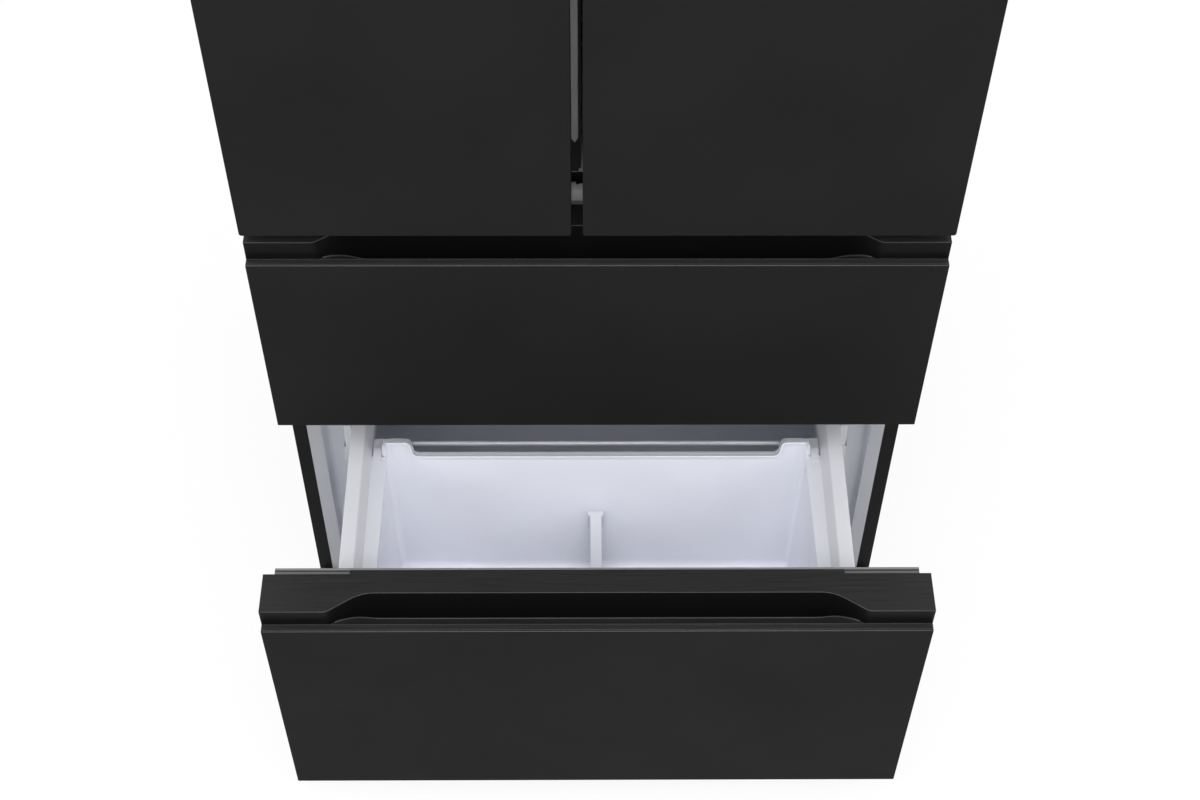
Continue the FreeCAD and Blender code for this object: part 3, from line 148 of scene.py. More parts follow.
def brushedMetal(name, tone, rough, gloss, metal=0.0, along=0):
    material, tree, shader, place = startFinish(name)
    scale = [1.0, 1.0, 1.0]
    scale[along] = 0.012    # streaks run along this axis
    lines = stretched(tree, place, scale)
    streak = grain(tree, lines, 0.0011, 4, 0.4)
    fine = toned(tree, streak, shaded(tone, 0.68), shaded(tone, 1.4), 0.3, 0.7)
    slow = toned(tree, grain(tree, place, 0.16, 2), shaded(tone, 0.94), shaded(tone, 1.06))
    tree.links.new(blended(tree, slow, fine, 0.75), shader.inputs["Base Color"])
    roughened(tree, shader, streak, rough, 0.07)
    shader.inputs["Metallic"].default_value = metal
    shader.inputs["Specular IOR Level"].default_value = gloss
    bumped(tree, shader, streak, 0.10, 0.0002)
    return material


def mouldedPlastic(name, tone, rough, gloss=0.5, texture=0.0011, depth=0.05):
    material, tree, shader, place = startFinish(name)
    slow = toned(tree, grain(tree, place, 0.14, 2), shaded(tone, 0.97), shaded(tone, 1.03))
    fine = toned(tree, grain(tree, place, texture, 2), shaded(tone, 0.95), shaded(tone, 1.05))
    tree.links.new(blended(tree, slow, fine, 0.3), shader.inputs["Base Color"])
    roughened(tree, shader, grain(tree, place, 0.03, 3), rough, 0.04)
    shader.inputs["Specular IOR Level"].default_value = gloss
    bumped(tree, shader, grain(tree, place, texture, 2), depth, 0.0002)
    return material


def sealRubber(name, tone):
    material, tree, shader, place = startFinish(name)
    dust = grain(tree, place, 0.02, 4, 0.6)
    tree.links.new(toned(tree, dust, shaded(tone, 0.88), shaded(tone, 1.12)), shader.inputs["Base Color"])
    tree.links.new(ranged(tree, dust, 0.58, 0.72), shader.inputs["Roughness"])
    bumped(tree, shader, grain(tree, place, 0.0008, 2), 0.08, 0.0002)
    return material


def sheetMetal(name, tone, rough, metal, spangleScale=160):
    material, tree, shader, place = startFinish(name)
    spangle = tree.nodes.new("ShaderNodeTexVoronoi")
    spangle.inputs["Scale"].default_value = spangleScale
    tree.links.new(place, spangle.inputs["Vector"])
    cells = toned(tree, spangle.outputs["Distance"], shaded(tone, 0.93), shaded(tone, 1.05), 0.1, 0.8)
    slow = toned(tree, grain(tree, place, 0.12, 3), shaded(tone, 0.95), shaded(tone, 1.04))
    tree.links.new(blended(tree, slow, cells, 0.5), shader.inputs["Base Color"])
    roughened(tree, shader, grain(tree, place, 0.01, 3), rough, 0.06)
    shader.inputs["Metallic"].default_value = metal
    return material


def clearGlass(name, tone):
    material, tree, shader, place = startFinish(name)
    smear = grain(tree, place, 0.06, 4, 0.5)
    tree.links.new(toned(tree, smear, shaded(tone, 0.985), tone), shader.inputs["Base Color"])
    tree.links.new(ranged(tree, smear, 0.02, 0.06), shader.inputs["Roughness"])
    shader.inputs["Transmission Weight"].default_value = 0.92
    shader.inputs["IOR"].default_value = 1.5
    return material


def frostedLens(name, tone):
    material, tree, shader, place = startFinish(name)
    frost = grain(tree, place, 0.0015, 3)
    tree.links.new(toned(tree, frost, shaded(tone, 0.95), tone), shader.inputs["Base Color"])
    tree.links.new(ranged(tree, frost, 0.3, 0.42), shader.inputs["Roughness"])
    shader.inputs["Transmission Weight"].default_value = 0.25
    bumped(tree, shader, frost, 0.2, 0.0003)
    return material


def cellFoam(name, tone, cellScale=400):
    material, tree, shader, place = startFinish(name)
    cells = tree.nodes.new("ShaderNodeTexVoronoi")
    cells.inputs["Scale"].default_value = cellScale
    tree.links.new(place, cells.inputs["Vector"])
    cellTone = toned(tree, cells.outputs["Distance"], shaded(tone, 0.8), tone, 0.0, 0.7)
    tree.links.new(cellTone, shader.inputs["Base Color"])
    shader.inputs["Roughness"].default_value = 0.9
    bumped(tree, shader, cells.outputs["Distance"], 0.4, 0.001)
    return material


tones = {    # linear colours
    "front": (0.0122, 0.0122, 0.0123),
    "handle": (0.0175, 0.0175, 0.0175),
    "trough": (0.015, 0.015, 0.015),
    "pocket": (0.0045, 0.0045, 0.0045),
    "case": (0.0050, 0.0050, 0.0051),
    "back": (0.44, 0.45, 0.46),
    "liner": (0.61, 0.625, 0.68),
    "frame": (0.55, 0.556, 0.59),
    "bin": (0.82, 0.83, 0.90),
    "doorBin": (0.70, 0.71, 0.76),
    "seal": (0.20, 0.20, 0.205),
    "flap": (0.46, 0.46, 0.46),
    "catch": (0.32, 0.32, 0.32),
    "trim": (0.15, 0.15, 0.153),
    "black": (0.012, 0.012, 0.012),
    "roller": (0.24, 0.24, 0.25),
    "rail": (0.50, 0.505, 0.515),
    "foam": (0.80, 0.74, 0.55),
    "glass": (0.88, 0.94, 0.92),
    "lamp": (0.90, 0.90, 0.88),
    "copper": (0.60, 0.27, 0.15),
    "fin": (0.75, 0.76, 0.78),
    "bar": (0.42, 0.427, 0.452),
}
finishes = {
    "front_finish": satinPaint("frontFinish", tones["front"], 0.40, 0.016),
    "handle_finish": brushedMetal("brushedHandle", tones["handle"], 0.42, 0.10),
    "case_paint": satinPaint("casePaint", tones["case"], 0.48, 0.06),
    "back_sheet": sheetMetal("backSheet", tones["back"], 0.45, 0.55),
    "liner_plastic": mouldedPlastic("linerPlastic", tones["liner"], 0.36),
    "door_liner_plastic": mouldedPlastic("doorLinerPlastic", tones["liner"], 0.36),
    "bin_plastic": mouldedPlastic("binPlastic", tones["bin"], 0.38),
    "door_bin_plastic": mouldedPlastic("doorBinPlastic", tones["doorBin"], 0.22),
    "seal_rubber": sealRubber("sealRubber", tones["seal"]),
    "flap_plastic": mouldedPlastic("flapPlastic", tones["flap"], 0.42),
    "black_plastic": mouldedPlastic("blackPlastic", tones["black"], 0.55, 0.35),
    "roller_plastic": mouldedPlastic("rollerPlastic", tones["roller"], 0.5),
    "rail_steel": brushedMetal("railSteel", tones["rail"], 0.38, 0.5, 0.6, 1),
    "foam": cellFoam("cellFoam", tones["foam"]),
    "shelf_glass": clearGlass("shelfGlass", tones["glass"]),
    "lamp_plastic": frostedLens("lampLens", tones["lamp"]),
    "compressor_paint": satinPaint("compressorPaint", tones["black"], 0.38, 0.4),
    "copper_tube": brushedMetal("copperTube", tones["copper"], 0.32, 0.5, 1.0, 0),
    "fin_aluminium": brushedMetal("finAluminium", tones["fin"], 0.35, 0.5, 1.0, 2),
}
frontFoldHighlight = satinPaint("frontFoldHighlight", shaded(tones["front"], 3.2), 0.28, 0.3)    # painted highlight: the front colour lightened, and glossier, for the folds that face upward to the light
# painted highlight: the handle colour lightened for the thin edge lines on the plate and the ledge
handleHighlight = satinPaint("handleHighlight", shaded(tones["handle"], 2.0), 0.28, 0.5)
# painted highlight: the trough colour lightened for the trough's inner fillets
troughEdge = satinPaint("troughEdge", shaded(tones["trough"], 2.2), 0.3, 0.3)
pocketBlack = mouldedPlastic("pocketBlack", tones["pocket"], 0.34, 0.06)
troughSheet = brushedMetal("troughSheet", tones["trough"], 0.42, 0.10)
framePlastic = mouldedPlastic("framePlastic", tones["frame"], 0.36)
catchGrey = mouldedPlastic("catchGrey", tones["catch"], 0.5)
# painted shade: the liner colour darkened for its forward-facing front
flangeShade = mouldedPlastic("flangeShade", shaded(tones["liner"], 0.52), 0.4)
# painted shade: the bin colour darkened for the rims, the wall's cut edges, the rim stops and the divider
binShade = mouldedPlastic("binShade", shaded(tones["bin"], 0.68), 0.4)
# painted shade: the bin colour darkened further for the top of the lip over the ears and the dip
lipShade = mouldedPlastic("lipShade", shaded(tones["bin"], 0.46), 0.4)
# painted highlight and painted shade for the two halves of the groove's floor
grooveHighlight = mouldedPlastic("grooveHighlight", shaded(tones["trim"], 0.55), 0.5)
grooveShade = mouldedPlastic("grooveShade", shaded(tones["trim"], 0.2), 0.5, 0.2)
barSteel = brushedMetal("barSteel", tones["bar"], 0.4, 0.5, 0.3, 0)
catchShade = mouldedPlastic("catchShade", shaded(tones["catch"], 0.4), 0.5)
trimGrey = mouldedPlastic("trimGrey", tones["trim"], 0.45)
for name, item in nodes.items():
    item.data.materials.clear()
    item.data.materials.append(finishes[slotOf[name]])
print("finishes on", len(nodes), "CAD pieces")


# Shared mesh helpers

def cadCopy(node):
    bm = bmesh.new()
    bm.from_mesh(nodes[node].data)
    bmesh.ops.remove_doubles(bm, verts=bm.verts, dist=0.01 * mm)
    bmesh.ops.dissolve_limit(bm, angle_limit=math.radians(1), verts=bm.verts, edges=bm.edges)
    return bm


def sharpEdges(bm, angle=30):
    return [e for e in bm.edges if len(e.link_faces) == 2 and e.calc_face_angle() > math.radians(angle)]


def roundEdges(bm, edges, radius, segments=2):
    made = bmesh.ops.bevel(bm, geom=edges, offset=radius, offset_type="OFFSET", affect="EDGES",
                           segments=segments, profile=0.5, material=-1, clamp_overlap=True)
    return made["faces"]


def cutThrough(bm, point, normal, faces=None, clear=False):    # through all, or only these faces
    if faces is None:
        chosen = bm.verts[:] + bm.edges[:] + bm.faces[:]
    else:
        chosen = faces + list({v for f in faces for v in f.verts} | {e for f in faces for e in f.edges})
    bmesh.ops.bisect_plane(bm, geom=chosen, plane_co=point, plane_no=normal, clear_outer=clear)


def cutAway(bm, point, normal):
    cutThrough(bm, point, normal, clear=True)
    bmesh.ops.triangle_fill(bm, use_beauty=True, edges=[e for e in bm.edges if e.is_boundary])
    bmesh.ops.dissolve_limit(bm, angle_limit=math.radians(1), verts=bm.verts, edges=bm.edges)


def addBox(bm, low, high):
    made = bmesh.ops.create_cube(bm, size=1)["verts"]
    bmesh.ops.scale(bm, vec=[high[i] - low[i] for i in range(3)], verts=made)
    bmesh.ops.translate(bm, vec=[(high[i] + low[i]) / 2 for i in range(3)], verts=made)


def boxMesh(low, high):
    bm = bmesh.new()
    addBox(bm, low, high)
    return bm


def addRod(bm, start, axis, length, radius, segments=24):
    made = bmesh.ops.create_cone(bm, cap_ends=True, segments=segments, radius1=radius, radius2=radius,
                                 depth=length)["verts"]
    bmesh.ops.translate(bm, vec=(0, 0, length / 2), verts=made)
    turn = Vector((0, 0, 1)).rotation_difference(Vector(axis)).to_matrix()
    bmesh.ops.rotate(bm, cent=(0, 0, 0), matrix=turn, verts=made)
    bmesh.ops.translate(bm, vec=start, verts=made)


def addStrip(bm, outline, draw):    # a flat outline drawn out into a solid
    face = bm.faces.new([bm.verts.new(point) for point in outline])
    made = bmesh.ops.extrude_face_region(bm, geom=[face])["geom"]
    bmesh.ops.translate(bm, vec=draw, verts=[g for g in made if isinstance(g, bmesh.types.BMVert)])


def addPiece(name, bm, body, slot, finish=None, replaced=(), smooth=38, others=(), outward=None):
    bmesh.ops.recalc_face_normals(bm, faces=bm.faces)
    if outward:    # an open sheet has no inside of its own
        bm.normal_update()
        lean = sum((f.normal * f.calc_area() for f in bm.faces), Vector())
        if lean.dot(Vector(outward)) < 0:
            bmesh.ops.reverse_faces(bm, faces=bm.faces)
    mesh = bpy.data.meshes.new(name)
    bm.to_mesh(mesh)
    bm.free()
    if "custom_normal" in mesh.attributes:
        mesh.attributes.remove(mesh.attributes["custom_normal"])
    mesh.shade_smooth()
    mesh.set_sharp_from_angle(angle=math.radians(smooth))
    for skin in (finish or finishes[slot], *others):
        mesh.materials.append(skin)
    piece = bpy.data.objects.new(name, mesh)
    scene.collection.objects.link(piece)
    even = piece.modifiers.new("evenNormals", "WEIGHTED_NORMAL")
    even.keep_sharp = True
    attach(piece, body)
    if replaced:
        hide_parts(*replaced)
    return piece


softCopy = {"longCorner": 120 * mm, "flangeDepth": 2 * mm}


def rounded(name, node, radius, segments=2, finish=None, inner=0, flange=None):
    bm = cadCopy(node)
    if inner:    # long inside corners are drawn with a wider curve
        hollow = [e for e in sharpEdges(bm, 60)
                  if not e.is_convex and e.calc_length() > softCopy["longCorner"]]
        roundEdges(bm, hollow, inner * mm, 4)
    roundEdges(bm, sharpEdges(bm), radius * mm, segments)
    if flange:    # painted shade: what faces forward at the piece's front takes the darker finish given as flange
        bm.normal_update()
        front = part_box(node)[0].y + softCopy["flangeDepth"]
        for f in bm.faces:
            f.material_index = 1 if f.normal.y < -0.5 and f.calc_center_median().y < front else 0
    addPiece(name, bm, bodyOf[node], slotOf[node], finish, (node,), others=(flange,) if flange else ())


def eased(share):
    share = min(max(share, 0), 1)
    return share * share * (3 - 2 * share)


def along(edge, axis):
    start, end = (v.co for v in edge.verts)
    return abs((end - start).normalized()[axis]) > 0.99


screw = {"flange": 4.6 * mm, "flangeHeight": 0.7 * mm, "head": 3.3 * mm, "headHeight": 1.1 * mm,
         "edge": 0.2 * mm}


def hexScrews(name, places, outward, body):
    bm = bmesh.new()
    way = Vector(outward)
    for place in places:
        addRod(bm, place, way, screw["flangeHeight"], screw["flange"], 20)
        seat = Vector(place) + way * screw["flangeHeight"] / 2
        addRod(bm, seat, way, screw["headHeight"], screw["head"], 6)
    roundEdges(bm, sharpEdges(bm, 50), screw["edge"], 1)
    addPiece(name, bm, body, "rail_steel")


# Door and drawer faces: folded sheets with a soft front edge

faceSheet = {"thickness": 1.2 * mm, "steps": 3, "doorCorner": 3.5 * mm, "doorEdge": 1.5 * mm,
             "drawerCorner": 1.3 * mm, "drawerEdge": 1.0 * mm}


def foldedFace(name, node, corner, edge):
    low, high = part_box(node)
    bm = boxMesh(low, high)
    bm.normal_update()
    rear = [f for f in bm.faces if f.normal.y > 0.9]
    bmesh.ops.delete(bm, geom=rear, context="FACES")
    roundEdges(bm, [e for e in bm.edges if along(e, 1)], corner, 5)
    front = [e for e in bm.edges if all(abs(v.co.y - low.y) < 0.01 * mm for v in e.verts)]
    folds = roundEdges(bm, front, edge, faceSheet["steps"])
    bm.normal_update()
    # painted highlight: folds that face upward take the second, lighter colour
    for fold in folds:
        fold.material_index = 1 if fold.normal.z > 0.3 else 0
    piece = addPiece(name, bm, bodyOf[node], slotOf[node], None, (node,), others=(frontFoldHighlight,))
    thicken(piece, faceSheet["thickness"])


def thicken(piece, wall, soften=0.0, rimSkin=0):    # rimSkin counts on from the sheet's own finish
    shell = piece.modifiers.new("wall", "SOLIDIFY")
    shell.thickness = wall
    shell.offset = -1
    shell.use_even_offset = True
    shell.material_offset_rim = rimSkin
    if soften:
        edge = piece.modifiers.new("softEdge", "BEVEL")
        edge.width = soften
        edge.segments = 2
        edge.limit_method = "ANGLE"
        edge.angle_limit = math.radians(40)
    last = piece.modifiers.find("evenNormals")
    piece.modifiers.move(last, len(piece.modifiers) - 1)


for word in ("left", "right"):
    foldedFace(f"{word}DoorFace", f"{word}_door_skin", faceSheet["doorCorner"], faceSheet["doorEdge"])
for word in ("middle", "freezer"):
    foldedFace(f"{word}DrawerFace", f"{word}_front_skin", faceSheet["drawerCorner"], faceSheet["drawerEdge"])
print("door and drawer faces done")


# Handle: brushed plate over a smooth black pocket, a grey trim behind and a brushed ledge in front

handle = {"plate": 1.4 * mm, "plateEdge": 0.5 * mm, "pocketEdge": 0.7 * mm, "trough": 30 * mm,
          "troughEdge": 1.2 * mm, "rampFrom": 270 * mm, "rampRun": 54 * mm, "rampRise": 27.5 * mm,
          "rampSteps": 12, "groove": 1.5 * mm, "grooveRear": 2.2 * mm, "trim": 3 * mm, "trimEdge": 0.6 * mm,
          "ledgeInset": 1 * mm, "ledgeSetback": 2.2 * mm, "ledgeRise": 0.5 * mm, "ledgeSink": 1 * mm,
          "ledgeEdge": 0.5 * mm, "ledgeLine": 1.6 * mm, "hair": 0.02 * mm}


def rampShare(x):    # how far the trough's end has risen here
    return eased((abs(x) - handle["rampFrom"]) / handle["rampRun"])


def handleOf(word):
    node = f"{word}_handle_cap"
    body = bodyOf[node]
    low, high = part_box(node)
    seam = (0, 0, high.z - handle["plate"])
    trimFront = high.y - handle["trim"]

    plate = cadCopy(node)
    cutAway(plate, seam, (0, 0, -1))
    cutAway(plate, (0, trimFront - handle["hair"], 0), (0, 1, 0))
    rim = [e for e in sharpEdges(plate) if all(v.co.z > high.z - 0.1 * mm for v in e.verts)]
    # painted highlight: the plate's top rim folds take the lighter second colour
    for fold in roundEdges(plate, rim, handle["plateEdge"]):
        fold.material_index = 1
    addPiece(f"{word}HandlePlate", plate, body, "handle_finish", None, (node,), others=(handleHighlight,))

    pocket = cadCopy(node)
    cutAway(pocket, seam, (0, 0, 1))
    cutAway(pocket, (0, trimFront - handle["hair"], 0), (0, 1, 0))
    grooveMiddle = trimFront - handle["grooveRear"]
    cutThrough(pocket, (0, grooveMiddle, 0), (0, 1, 0))
    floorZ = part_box(f"{word}_front_skin")[1].z - handle["trough"]
    for i in range(handle["rampSteps"] + 1):
        x = handle["rampFrom"] + handle["rampRun"] * i / handle["rampSteps"]
        for side in (-1, 1):
            cutThrough(pocket, (side * x, 0, 0), (1, 0, 0))
    hollow = []
    for e in sharpEdges(pocket, 60):
        onFloor = all(abs(v.co.z - floorZ) < 0.1 * mm and rampShare(v.co.x) < 0.99 for v in e.verts)
        if onFloor and not e.is_convex:
            hollow.append(e)
    # painted highlight: the trough's inner fillets take a lighter colour
    for fold in roundEdges(pocket, hollow, handle["troughEdge"], 3):
        fold.material_index = 2
    for v in pocket.verts:
        if floorZ - 0.1 * mm < v.co.z < floorZ + 2 * handle["troughEdge"]:
            v.co.z += handle["rampRise"] * rampShare(v.co.x)
    uprights = [e for e in sharpEdges(pocket, 60) if e.is_convex and along(e, 2)]
    roundEdges(pocket, [e for e in uprights if abs(e.verts[0].co.x) > high.x - mm], handle["pocketEdge"])
    pocket.normal_update()
    for f in pocket.faces:    # the trough's floor is brushed as well; the groove before the trim has a painted highlight on its front half and painted shade on its rear half
        spot = f.calc_center_median()
        if f.normal.z > 0.7 and f.material_index == 0 and spot.z < floorZ + handle["rampRise"] + 0.5 * mm:
            f.material_index = 1
        elif f.normal.z > 0.95 and abs(spot.z - high.z + handle["groove"]) < 0.05 * mm:
            f.material_index = 4 if spot.y > grooveMiddle else 3
    addPiece(f"{word}HandlePocket", pocket, body, "black_plastic", pocketBlack, (node,),
             others=(troughSheet, troughEdge, grooveHighlight, grooveShade))

    trim = cadCopy(node)
    cutAway(trim, (0, trimFront + handle["hair"], 0), (0, -1, 0))
    roundEdges(trim, sharpEdges(trim), handle["trimEdge"])
    addPiece(f"{word}HandleTrim", trim, body, "seal_rubber", trimGrey, (node,))

    lineFront = low.y - handle["ledgeLine"]    # painted highlight: the ledge's top behind this line, where the cap's wall meets it, takes the lighter second colour
    low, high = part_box(f"{word}_front_skin")
    inset = handle["ledgeInset"]
    strip = boxMesh((low.x + inset, low.y + handle["ledgeSetback"], high.z - handle["ledgeSink"]),
                    (high.x - inset, high.y, high.z + handle["ledgeRise"]))
    # painted highlight: the ledge's folds take the lighter second colour
    for fold in roundEdges(strip, sharpEdges(strip), handle["ledgeEdge"]):
        fold.material_index = 1
    cutThrough(strip, (0, lineFront, 0), (0, 1, 0))
    strip.normal_update()
    for f in strip.faces:
        if f.normal.z > 0.9 and f.calc_center_median().y > lineFront:
            f.material_index = 1
    addPiece(f"{word}Ledge", strip, body, "handle_finish", others=(handleHighlight,))


handleOf("middle")
handleOf("freezer")
print("handles done")


# Drawer fronts and doors behind their faces: a dark edge and a pale inner panel

inner = {"panel": 7 * mm, "edge": 1.2 * mm}


def splitEdge(word, node):
    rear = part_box(f"{word}_gasket")[0].y    # the panel's back, which the gasket sits on
    cut = rear - inner["panel"]
    halves = ((f"{word}DarkEdge", 1, "black_plastic"), (f"{word}InnerPanel", -1, slotOf[node]))
    for name, way, slot in halves:
        bm = cadCopy(node)
        cutAway(bm, (0, cut, 0), (0, way, 0))
        roundEdges(bm, sharpEdges(bm), inner["edge"])
        addPiece(name, bm, bodyOf[node], slot, None, (node,))


splitEdge("middle", "middle_front_core")
splitEdge("freezer", "freezer_front_core")
splitEdge("left_door", "left_door_liner")
splitEdge("right_door", "right_door_liner")
print("inner panels done")


# Gaskets: one hollow-looking section carried round four mitred corners

gasketSection = [    # inset from the outer edge and depth from the panel, in millimetres
    (0, 0), (0, 3.6), (0.6, 4.6), (1.6, 5), (3.8, 5), (3.0, 6.2), (2.6, 8.6), (3.0, 10.8), (4.2, 11.7),
    (11.8, 11.7), (13.0, 10.8), (13.4, 8.6), (13.0, 6.2), (12.2, 5), (14.4, 5), (15.4, 4.6), (16, 3.6),
    (16, 0),
]


def gasketRing(name, node):
    low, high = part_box(node)
    toMiddle = Matrix.Translation(-(low + high) / 2)
    bm = bmesh.new()
    ring = [bm.verts.new((low.x + a * mm, low.y + d * mm, low.z + a * mm)) for a, d in gasketSection]
    first = [bm.edges.new((v, ring[i - 1])) for i, v in enumerate(ring)]
    last = first
    for mirror in ((-1, 1, 1), (1, 1, -1), (-1, 1, 1)):    # one corner after another
        made = bmesh.ops.extrude_edge_only(bm, edges=last)["geom"]
        last = [g for g in made if isinstance(g, bmesh.types.BMEdge) and g.is_boundary]
        verts = [g for g in made if isinstance(g, bmesh.types.BMVert)]
        bmesh.ops.scale(bm, vec=mirror, verts=verts, space=toMiddle)
    bmesh.ops.bridge_loops(bm, edges=first + last)
    addPiece(name, bm, bodyOf[node], slotOf[node], None, (node,), 50)


gasketRing("leftDoorGasket", "left_door_gasket")
gasketRing("rightDoorGasket", "right_door_gasket")
gasketRing("middleGasket", "middle_gasket")
gasketRing("freezerGasket", "freezer_gasket")
print("gaskets done")


# Drawer bins: a tapered tub with a rim at both sides, raised ears behind and a dip between them

tub = {"slack": 0.3 * mm, "wall": 4 * mm, "wallEdge": 0.9 * mm, "corner": 13 * mm, "foot": 16 * mm,
       "taper": 15 * mm, "sideTaper": 6 * mm, "ledge": 17 * mm, "seat": 0.2 * mm, "rim": 11.5 * mm,
       "rimReach": 12.6 * mm, "band": 34 * mm, "ear": 24 * mm, "earDepth": 14 * mm, "earLean": 3 * mm,
       "leanFrom": 260 * mm, "leanRun": 20 * mm, "step": 2 * mm, "stepCuts": 3, "dip": 6 * mm,
       "dipHalf": 236.5 * mm, "lipInset": 1 * mm, "lipDepth": 8 * mm, "lipHeight": 4 * mm,
       "lipSoft": 1.2 * mm}
rimStop = {"length": 21 * mm, "rise": 1.2 * mm, "sink": 1 * mm, "setback": 1.5 * mm, "overlap": 0.5 * mm,
           "inset": 1 * mm, "edge": 0.5 * mm}
earCurve = [    # run from the dip in millimetres and share of the rise to the ear
    (0, 0), (3.0, 0.02), (5.4, 0.07), (7.2, 0.16), (8.2, 0.30), (8.9, 0.50),
    (9.6, 0.70), (10.6, 0.84), (12.4, 0.93), (14.8, 0.98), (17.8, 1),
]


def earShare(x):    # how far the rear wall has risen here from its dip to its ear
    run = (abs(x) - tub["dipHalf"]) / mm
    for (start, low), (end, high) in zip(earCurve, earCurve[1:]):
        if run < end:
            return low + (high - low) * max(run - start, 0) / (end - start)
    return 1


def drawerBin(word):
    node = f"{word}_bin"
    low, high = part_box(node)
    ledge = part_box(f"{word}_side_frames")[1].z - tub["ledge"]    # the frames' ledge carries the rim
    rim = ledge + tub["seat"]
    half = high.x - tub["rim"] - tub["slack"]
    bm = boxMesh((-half, low.y, low.z), (half, high.y, rim))
    middle = Vector((0, (low.y + high.y) / 2, low.z))
    bottom = [v for v in bm.verts if v.co.z < low.z + mm]
    shrink = ((half - tub["sideTaper"]) / half, 1 - 2 * tub["taper"] / (high.y - low.y), 1)
    bmesh.ops.scale(bm, vec=shrink, verts=bottom, space=Matrix.Translation(-middle))
    bm.normal_update()
    bmesh.ops.delete(bm, geom=[f for f in bm.faces if f.normal.z > 0.9], context="FACES")
    uprights = [e for e in bm.edges if abs(e.verts[0].co.z - e.verts[1].co.z) > 10 * mm]
    roundEdges(bm, uprights, tub["corner"], 8)
    footing = [e for e in bm.edges if all(v.co.z < low.z + 0.1 * mm for v in e.verts)]
    roundEdges(bm, footing, tub["foot"], 5)

    steps = [tub["dipHalf"] + run * mm for run, _ in earCurve]
    cuts = [((0, 0, rim - tub["band"]), (0, 0, 1))]
    cuts += [((side * x, 0, 0), (1, 0, 0)) for x in steps for side in (-1, 1)]
    for i in range(tub["stepCuts"] + 1):
        cuts.append(((0, high.y - tub["earDepth"] + tub["step"] * i / tub["stepCuts"], 0), (0, 1, 0)))
    for point, normal in cuts:
        cutThrough(bm, point, normal, [f for f in bm.faces if max(v.co.z for v in f.verts) > rim - mm])

    sides = [e for e in bm.edges if e.is_boundary and along(e, 1) and abs(e.verts[0].co.x) > half - 0.1 * mm]
    for v in bm.verts:    # ears and dip along the top
        if v.co.z > rim - 0.1 * mm:
            ear = earShare(v.co.x)
            back = eased((v.co.y - high.y + tub["earDepth"]) / tub["step"])
            v.co.z += back * (tub["ear"] * ear - tub["dip"] * (1 - ear))
            lean = eased((abs(v.co.x) - tub["leanFrom"]) / tub["leanRun"])
            v.co.x -= math.copysign(back * tub["earLean"] * lean, v.co.x)
    flat = [e for e in sides if all(abs(v.co.z - rim) < 0.1 * mm for v in e.verts)]
    # painted shade: the rim reaching out over the frames takes the darker second colour
    for g in bmesh.ops.extrude_edge_only(bm, edges=flat)["geom"]:
        if isinstance(g, bmesh.types.BMVert):
            g.co.x += math.copysign(tub["rimReach"], g.co.x)
        elif isinstance(g, bmesh.types.BMFace):
            g.material_index = 1
    piece = addPiece(f"{word}Bin", bm, bodyOf[node], slotOf[node], None, (node,), 45, (binShade,),
                     outward=(0, 0, -1))
    # painted shade: the wall's cut edges take the darker second colour too
    thicken(piece, tub["wall"], tub["wallEdge"], 1)

    lip = bmesh.new()    # thick lip over the ears and the dip
    reach = half - tub["earLean"] - tub["lipInset"]
    path = [-reach] + [-x for x in reversed(steps)] + steps + [reach]
    dipTop = rim + tub["seat"] - tub["dip"]
    climb = tub["ear"] + tub["dip"]
    chain = [lip.verts.new((x, high.y, dipTop + climb * earShare(x))) for x in path]
    edges = [lip.edges.new(pair) for pair in zip(chain, chain[1:])]
    made = bmesh.ops.extrude_edge_only(lip, edges=edges)["geom"]
    drawn = [g for g in made if isinstance(g, bmesh.types.BMVert)]
    bmesh.ops.translate(lip, vec=(0, -tub["lipDepth"], 0), verts=drawn)
    # painted shade on the lip's top; its cut edges keep the bin's own colour
    piece = addPiece(f"{word}BinLip", lip, bodyOf[node], slotOf[node], lipShade, smooth=45,
                     others=(finishes[slotOf[node]],), outward=(0, 0, 1))
    thicken(piece, tub["lipHeight"], tub["lipSoft"], 1)

    pads = bmesh.new()    # stops at the rear ends of the rim
    rimTop = rim + tub["wall"]
    padEnd = high.y - rimStop["setback"]
    for side in (-1, 1):
        xs = sorted((side * (half - rimStop["overlap"]), side * (half + tub["rim"] - rimStop["inset"])))
        addBox(pads, (xs[0], padEnd - rimStop["length"], rimTop - rimStop["sink"]),
               (xs[1], padEnd, rimTop + rimStop["rise"]))
    roundEdges(pads, sharpEdges(pads), rimStop["edge"])
    # painted shade: the stops take the darkened bin colour
    addPiece(f"{word}RimStops", pads, bodyOf[node], slotOf[node], binShade)


drawerBin("middle")
drawerBin("freezer")
print("bins done")


# CAD shapes that are right as they are, with their edges broken

